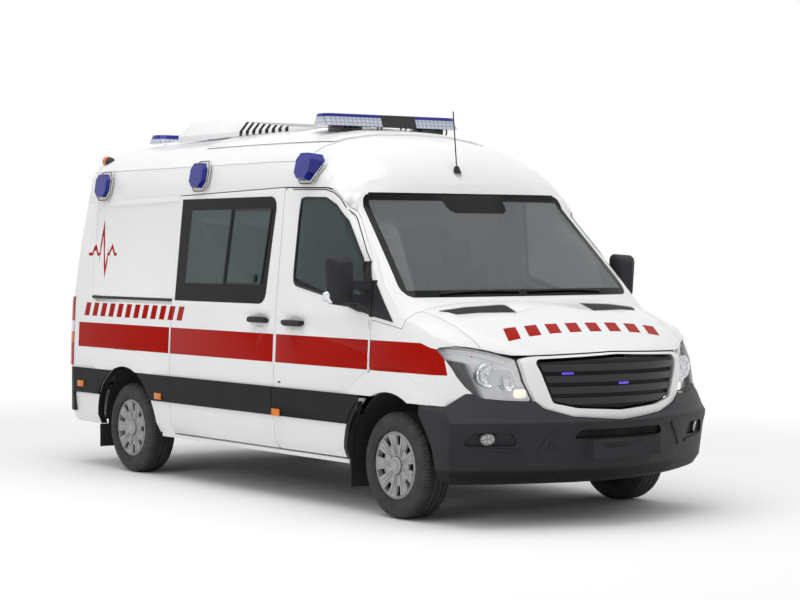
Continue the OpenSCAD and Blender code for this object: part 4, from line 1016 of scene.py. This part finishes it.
# Grille: four wide convex bars moulded in black over a plate pierced with small slots; the
# bumper's intake and the bonnet's two vents are of the same black plastic.
GRILLE_TOP, GRILLE_BAR_STEP, GRILLE_BAR_HEIGHT = 0.939, 0.064, 0.041
black, shader, place, (x, y, z) = finish("grille_black", specular_ior_level=0.35)
hole = y.ripple(62.0).under(0.30) * z.ripple(62.0).under(0.30)
gloss = place.noise(12.0, 2.0)
in_grille = limit(z, 0.6, 1.0)
# Painted highlight: the bars are coloured lighter than the plate behind them.
bar = (GRILLE_TOP - z).mod(GRILLE_BAR_STEP).under(GRILLE_BAR_HEIGHT) * in_grille
louvre = (x * 45.0).mod(1.0).under(0.5) * z.above(1.0)
# Painted shade: the plate's small slots and the gaps between the bonnet vents' louvres are coloured near black for the
# dark behind them.
pierced = (hole * in_grille * x.above(2.0)).max(louvre)
plate = pierced.mix((0.010, 0.0095, 0.013), (0.002, 0.002, 0.003))
wire(
    shader,
    base_color=bar.mix(plate, gloss.above(0.5, 0.6).mix((0.016, 0.0155, 0.020), (0.024, 0.023, 0.028))),
    roughness=0.30 + gloss * 0.14 + (1.0 - bar) * 0.3,
    normal=bumped(place, -pierced * (1.0 - bar), 0.5, 0.003),
)
panel("grille", black, edge=0.011)
panel("bonnet_vents", black, edge=0.0)

# Intake lattice: crossed slanting bars moulded in front of the intake's plate.
LATTICE_LOW, LATTICE_HIGH, LATTICE_HALF, LATTICE_STEP, LATTICE_LEAN = 0.512, 0.566, 0.348, 0.028, 0.018
RAIL_HEIGHTS, RAIL_HALF = (0.530, 0.549), 0.30
lattice = []
for lean in (-1, 1):
    for k in range(-11, 12):
        foot, head = LATTICE_STEP * k - LATTICE_LEAN * lean, LATTICE_STEP * k + LATTICE_LEAN * lean
        lattice.append([
            from_front("grille", u, v, 0.004)
            for u, v in between((foot, LATTICE_LOW), (head, LATTICE_HIGH), 3)
            if abs(u) < LATTICE_HALF - (v - LATTICE_LOW) * 0.9
        ])
for height in RAIL_HEIGHTS:
    rail = between((-RAIL_HALF, height), (RAIL_HALF, height), 13)
    lattice.append([from_front("grille", u, v, 0.005) for u, v in rail])
made(rods([line for line in lattice if len(line) > 1], 0.0028), "intake_lattice", plastic)

# Strobe lamps: two slim violet-blue flashers screwed to the plate between the grille's bars.
strobe, shader, place, (x, y, z) = finish(
    "strobe_lens", roughness=0.12, coat_weight=1.0, emission_strength=0.45)
cells = (y * 90.0).mod(1.0)
wire(
    shader,
    base_color=cells.above(0.2, 0.2).mix((0.02, 0.01, 0.10), (0.10, 0.04, 0.75)),
    emission_color=cells.above(0.2, 0.2).mix((0.02, 0.005, 0.10), (0.16, 0.04, 0.95)),
)
for at_y, at_z, letter in ((-0.35, 0.887, "r"), (0.03, 0.823, "m")):
    flash = slab(oval(0.040, 0.008, 5.0, 24), 0.010, 0.002)
    flash.data.transform(stand(from_front("grille", at_y, at_z, -0.002), (1.0, at_y * 0.7, 0.0)))
    made(flash, "strobe_" + letter, strobe, slot="blue_lens")

# Beacons: six blue side lenses, and two light bars with a clear lower lens full of lamp cells,
# a blue upper edge and a black loudspeaker in the middle, all moulded in clear and dyed acrylic.
BLUE, BLUE_DEEP = (0.010, 0.016, 0.30), (0.005, 0.007, 0.15)
BAR_TOP = (2.4890, 2.4380)
SPEAKER = (-0.10, 0.18)

blue, shader, place, (x, y, z) = finish(
    "blue_lens", coat_weight=0.3, coat_roughness=0.03, specular_ior_level=0.25)
on_bar = limit(y, -0.6, 0.6) * z.above(2.30)
front_bar = on_bar * x.above(-0.5)
blue_from = (BAR_TOP[1] - 0.030) + front_bar * (BAR_TOP[0] - 0.022 - BAR_TOP[1] + 0.030)
clear_part = on_bar * (1.0 - z.above(blue_from, 0.006))
speaker = front_bar * limit(y, *SPEAKER, 0.002)
cell = y.ripple(30.0).max(z.ripple(44.0))
cells = cell.above(0.40, 0.12)
ribs = x.ripple(75.0) * (1.0 - on_bar)
depth = place.noise(22.0, 2.0)
dyed = depth.above(0.5, 0.6).mix(BLUE_DEEP, BLUE)
lit = cells.mix((0.52, 0.56, 0.64), (0.26, 0.29, 0.36))
grid = y.ripple(120.0).max(z.ripple(120.0)).above(0.36, 0.1)
horn = grid.mix((0.004, 0.004, 0.005), (0.020, 0.020, 0.022))
wire(
    shader,
    base_color=speaker.mix(clear_part.mix(dyed, lit), horn),
    roughness=0.10 + speaker * 0.3 + depth * 0.06,
    normal=bumped(place, ribs + cells * clear_part * 0.6, 0.35, 0.003),
)
panel("beacon_lenses", blue, edge=0.003, angle=14)

# Beacon seats: cream plastic bezels under the side lenses and black feet under the bars, screwed
# through the roof on a thin black gasket.
seat, shader, place, (x, y, z) = finish("bezel_plastic", coat_weight=0.3)
foot = limit(y, -0.7, 0.7)
soot = place.noise(12.0, 3.0)
cream = soot.above(0.5, 0.5).mix((0.62, 0.60, 0.55), (0.70, 0.69, 0.65))
wire(shader, base_color=foot.mix(cream, (0.012, 0.012, 0.012)), roughness=0.3 + soot * 0.15)
panel("beacon_bases", seat, edge=0.004)

BEACONS = [
    (-1, 1.000, 2.103, 13), (1, 1.450, 2.103, 13), (-1, 2.320, 2.084, 10), (1, 2.320, 2.084, 10),
    (-1, 3.700, 2.048, 8), (1, 3.700, 2.048, 8),
]
BEZEL_HALF, BEZEL_CUT, BEACON_ROOT = 0.1045, 0.045, 0.8417
gaskets = []
near, far = BEZEL_HALF - BEZEL_CUT, BEZEL_HALF
corners = [
    (far, near), (near, far), (-near, far), (-far, near),
    (-far, -near), (-near, -far), (near, -far), (far, -near),
]
for side, back, z_middle, lean in BEACONS:
    lean = math.radians(lean)
    out = Vector((0, side * math.cos(lean), math.sin(lean)))
    up = Vector((0, -side * math.sin(lean), math.cos(lean)))
    root = Vector((AXLE_FRONT - back, side * BEACON_ROOT, z_middle))
    ring = []
    for a, b in zip(corners, corners[1:] + corners[:1]):
        for u, v in between(a, b, 4)[:-1]:
            try:
                ring.append(landed("beacon_bases", root + Vector((u, 0, 0)) + up * v + out * 0.4, -out)[0])
            except ValueError:
                continue
    gaskets.append(ring)
made(rods(gaskets, 0.0035, closed=True), "beacon_gaskets", rubber_trim)

# Light-bar braces: black bent rods and cable loops between the front bar and the roof.
BRACE_FEET = (-0.40, -0.35, -0.31, -0.15, -0.12, 0.04, 0.08, 0.36, 0.42)
braces = []
for y_foot in BRACE_FEET:
    top = Vector((0.262, y_foot + 0.03, 2.412))
    foot = landed("roof", (0.300, y_foot, 3.0), (0, 0, -1))[0] + Vector((0, 0, 0.002))
    braces.append([top, top.lerp(foot, 0.5) + Vector((0.012, 0, 0)), foot])
made(rods(braces, 0.0055), "bar_braces", rubber_trim)

# Air conditioner: a white glass-fibre housing bolted to the roof, with air slots across its long front slope,
# their walls and floors coloured near black as painted shade.
UNIT_X = -2.5225 + 0.838
SLOTS_FROM, SLOTS_LONG, SLOT_STEP, SLOT_WIDE = 0.85, 0.63, 0.084, 0.039
unit, shader, place, (x, y, z) = finish("glass_fibre", coat_weight=0.2)
run = x - (UNIT_X + SLOTS_FROM)
slot_painted_shade = (run + 0.002).mod(SLOT_STEP).under(SLOT_WIDE) * limit(run, -0.003, SLOTS_LONG)
weave = place.noise(60.0, 3.0)
streak = place.noise(4.0, 4.0)
white = streak.above(0.55, 0.4).mix((0.80, 0.81, 0.82), (0.74, 0.745, 0.75))
wire(
    shader,
    base_color=slot_painted_shade.mix(white, (0.010, 0.009, 0.009)),
    roughness=0.36 + weave * 0.12,
    normal=bumped(place, weave, 0.05, 0.0008),
)
panel("roof_unit", unit, edge=0.008)

# Cab seats: foam pads in dark woven cloth on steel boxes, swollen against their covers, with sewn
# channels across the cushion and the back.
CLOTH, CLOTH_LIGHT = (0.030, 0.032, 0.038), (0.060, 0.064, 0.074)
COVER_SHRINK, FOAM_STEP, SWELL_PRESSURE, SWELL_FRAMES, SWELL_MOST = 0.010, 0.016, 4.0, 20, 0.014

cloth, shader, place, (x, y, z) = finish(
    "seat_cloth", roughness=0.9, specular_ior_level=0.1, sheen_weight=0.3, sheen_roughness=0.5)
warp = y.ripple(420.0)
weft = (x + z).ripple(420.0)
sewn = y.ripple(9.0).under(0.022)
fade = place.noise(7.0, 3.0)
woven = (warp.max(weft) * 1.6 + fade * 0.4 - 0.3).mix(CLOTH, CLOTH_LIGHT)
wire(
    shader,
    base_color=sewn.mix(woven, (0.010, 0.010, 0.012)),
    normal=bumped(place, warp.max(weft) * 0.3 - sewn, 0.5, 0.003),
)
node = nodes["seats"]
pads = bpy.data.objects.new("seat_pads", node.data.copy())
scene.collection.objects.link(pads)
only(pads)
bpy.ops.object.mode_set(mode="EDIT")
bpy.ops.mesh.select_all(action="SELECT")
bpy.ops.mesh.remove_doubles(threshold=0.00002)
bpy.ops.transform.shrink_fatten(value=-COVER_SHRINK)
bpy.ops.object.mode_set(mode="OBJECT")
remesh = pads.modifiers.new("foam", "REMESH")
remesh.mode, remesh.voxel_size = "VOXEL", FOAM_STEP
bpy.ops.object.modifier_apply(modifier="foam")
before = [v.co.copy() for v in pads.data.vertices]
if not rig.quick():
    swell = pads.modifiers.new("cover", "CLOTH")
    swell.settings.use_pressure = True
    swell.settings.uniform_pressure_force = SWELL_PRESSURE
    swell.settings.effector_weights.gravity = 0.0
    swell.point_cache.frame_start, swell.point_cache.frame_end = 1, SWELL_FRAMES
    for number in range(1, SWELL_FRAMES + 1):
        scene.frame_set(number)
    bpy.ops.object.modifier_apply(modifier="cover")
    scene.frame_set(1)
for vertex, rest in zip(pads.data.vertices, before):
    move = vertex.co - rest
    if move.length > SWELL_MOST:
        vertex.co = rest + move * (SWELL_MOST / move.length)
relax = pads.modifiers.new("relax", "SMOOTH")
relax.factor, relax.iterations = 0.5, 4
bpy.ops.object.modifier_apply(modifier="relax")
bpy.ops.object.shade_smooth()
made(pads, "seat_pads", cloth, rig.body_of(node)[0], "seat_fabric")
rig.replaces(pads, "seats")
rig.padded(pads, 0.8)

# Dashboard and steering wheel: dark grained plastic moulded over foam.
dash, shader, place, (x, y, z) = finish("dash_plastic", specular_ior_level=0.3)
grain = place.make("TexVoronoi", inputs={"Vector": place, "Scale": 500.0})
worn = place.noise(6.0, 3.0)
wire(
    shader,
    base_color=worn.above(0.5, 0.6).mix((0.035, 0.036, 0.040), (0.055, 0.056, 0.060)),
    roughness=0.5 + worn * 0.2,
    normal=bumped(place, grain, 0.2, 0.0006),
)
panel("dashboard", dash, edge=0.006)

# Patient space: bulkhead, cupboards and seat box in pale laminated board with aluminium edges.
board, shader, place, (x, y, z) = finish("laminate", coat_weight=0.15)
speck = place.noise(120.0, 2.0)
join = x.ripple(1.25).under(0.004)
pale_board = speck.above(0.5, 0.5).mix((0.62, 0.63, 0.62), (0.68, 0.69, 0.68))
wire(
    shader,
    base_color=join.mix(pale_board, (0.25, 0.26, 0.27)),
    roughness=0.36 + speck * 0.1,
    metallic=join * 0.8,
)
panel("cabin_fittings", board, edge=0.003)

# Side markers and corner lamps: amber acrylic snapped into the rub strips and, on black seats,
# onto the roof's rear corners.
marker_amber, shader, place, (x, y, z) = finish("marker_amber", coat_weight=0.3, specular_ior_level=0.2)
prism = ((x + z) * 160.0).mod(1.0)
seat_part = z.above(1.5) * x.above(-2.300, 0.004)
dyed = prism.above(0.5, 0.6).mix((0.60, 0.14, 0.006), (0.72, 0.20, 0.010))
wire(
    shader,
    base_color=seat_part.mix(dyed, (0.015, 0.014, 0.014)),
    roughness=0.12 + seat_part * 0.4,
    normal=bumped(place, (prism - 0.5).abs(), 0.4, 0.001),
)
panel("side_markers", marker_amber, edge=0.003)

# Tail lamps: tall red lenses up the rear corners, with a clear reversing lamp over an amber turn
# lamp, all of ribbed acrylic.
tail, shader, place, (x, y, z) = finish("tail_lens", roughness=0.12, coat_weight=0.4, specular_ior_level=0.2)
clear_band = limit(z, 0.985, 1.065, 0.003)
amber_band = limit(z, 0.905, 0.980, 0.003)
rib = z.ripple(130.0)
red = rib.above(0.25, 0.3).mix((0.30, 0.006, 0.006), (0.42, 0.012, 0.010))
wire(
    shader,
    base_color=clear_band.mix(amber_band.mix(red, (0.60, 0.14, 0.012)), (0.72, 0.72, 0.72)),
    normal=bumped(place, rib, 0.4, 0.0015),
)
panel("tail_lamps", tail, edge=0.004)

# Door mirrors: silvered glass set in the back of each housing, and a clear turn lamp let into
# its lower outer corner.
mirror_glass, shader, place, (x, y, z) = finish("mirror_glass", metallic=1.0)
smear = place.noise(5.0, 2.0)
wire(
    shader,
    base_color=smear.above(0.5, 0.8).mix((0.70, 0.72, 0.74), (0.76, 0.78, 0.80)),
    roughness=0.02 + smear * 0.04,
)
LAMP_OUTLINE = [
    (-0.030, -0.030), (0.030, -0.036), (0.034, -0.024), (0.012, 0.034),
    (0.002, 0.040), (-0.028, 0.030), (-0.034, 0.0),
]
MIRROR_AT, LAMP_AT = (1.125, 1.415), (1.29, 1.312)
for side, letter in SIDES:
    trim = "door_trim_" + letter
    point, normal = landed(trim, (0.5, side * MIRROR_AT[0], MIRROR_AT[1]), (1, 0, 0))
    pane = slab(oval(0.062, 0.098, 4.0, 28), 0.004, 0.0015)
    pane.data.transform(stand(point - normal * 0.001, normal))
    made(pane, "mirror_pane_" + letter, mirror_glass, "door_" + letter, "reflector")
    point, normal = landed(trim, (LAMP_AT[0], side * 2.0, LAMP_AT[1]), (0, -side, 0))
    lamp = slab(LAMP_OUTLINE, 0.010, 0.004)
    lamp.data.transform(stand(point - normal * 0.004, normal + Vector((0.5, 0, 0))))
    made(lamp, "mirror_lamp_" + letter, mirror_bowl, "door_" + letter, "clear_lens")

# Running gear: floor, axles, springs and tank in black chassis paint, dulled and rust-flecked, and
# the engine in bare cast metal.
chassis, shader, place, (x, y, z) = finish("chassis_paint", specular_ior_level=0.3)
mud = place.noise(9.0, 5.0)
rust = place.noise(35.0, 4.0)
muddy = mud.above(0.55, 0.3).mix((0.018, 0.018, 0.019), (0.045, 0.042, 0.038))
wire(
    shader,
    base_color=rust.above(0.66, 0.06).mix(muddy, (0.070, 0.030, 0.014)),
    roughness=0.5 + mud * 0.3,
    normal=bumped(place, mud, 0.2, 0.002),
)
for name in ("floor_pan", "front_axle", "rear_axle", "underbody", "knuckle_l", "knuckle_r"):
    panel(name, chassis, edge=0.0)
cast, shader, place, (x, y, z) = finish("cast_metal", metallic=0.6)
pits = place.noise(90.0, 3.0)
wire(
    shader,
    base_color=pits.above(0.5, 0.5).mix((0.10, 0.10, 0.105), (0.20, 0.20, 0.205)),
    roughness=0.45 + pits * 0.3,
    normal=bumped(place, pits, 0.3, 0.001),
)
panel("engine", cast, edge=0.004)

# Rear fittings: a black pull handle on a moulded seat on the right door, a blank
# number-plate pad with its lamp on the left one, and a red stop lamp over both doors.
PULL_AT, PAD_AT, STOP_HEIGHT = (-0.14, 1.06), (0.40, 0.93), 2.14


def from_back(node, y, z):
    """Point and normal on a CAD piece seen straight from behind."""
    return landed(node, (-4.0, y, z), (1, 0, 0))


seat_at, seat_way = from_back("rear_door_r", *PULL_AT)
pull_seat = slab(oval(0.075, 0.045, 3.0, 32), 0.010, 0.004)
pull_seat.data.transform(stand(seat_at - seat_way * 0.002, seat_way))
pull = turned([(u * 0.7, v * 0.62) for u, v in GRIP], 24)
pull.data.transform(stand(seat_at + seat_way * 0.018, seat_way) @ Matrix.Rotation(math.radians(90), 4, "Y"))
made(joined([pull_seat, pull]), "rear_pull", plastic, "tail_door_r")
pad_at, pad_way = from_back("rear_door_l", *PAD_AT)
pad = slab(oval(0.262, 0.060, 14.0, 48), 0.010, 0.003)
pad.data.transform(stand(pad_at - pad_way * 0.002, pad_way))
light = slab(oval(0.070, 0.013, 6.0, 32), 0.024, 0.005)
light.data.transform(stand(pad_at + Vector((0, 0, 0.086)) - pad_way * 0.002, pad_way))
made(joined([pad, light]), "rear_plate_pad", plastic, "tail_door_l")
stop_at, stop_way = from_back("roof", 0.0, STOP_HEIGHT)
stop = slab(oval(0.150, 0.014, 6.0, 40), 0.016, 0.004)
stop.data.transform(stand(stop_at - stop_way * 0.004, stop_way))
made(stop, "stop_lamp", tail, slot="red_lens")

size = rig.bounds()
json.dump(
    {"cad": [list(v) for v in cad_box], "visual": [list(v) for v in size]},
    open("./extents.json", "w"),
)
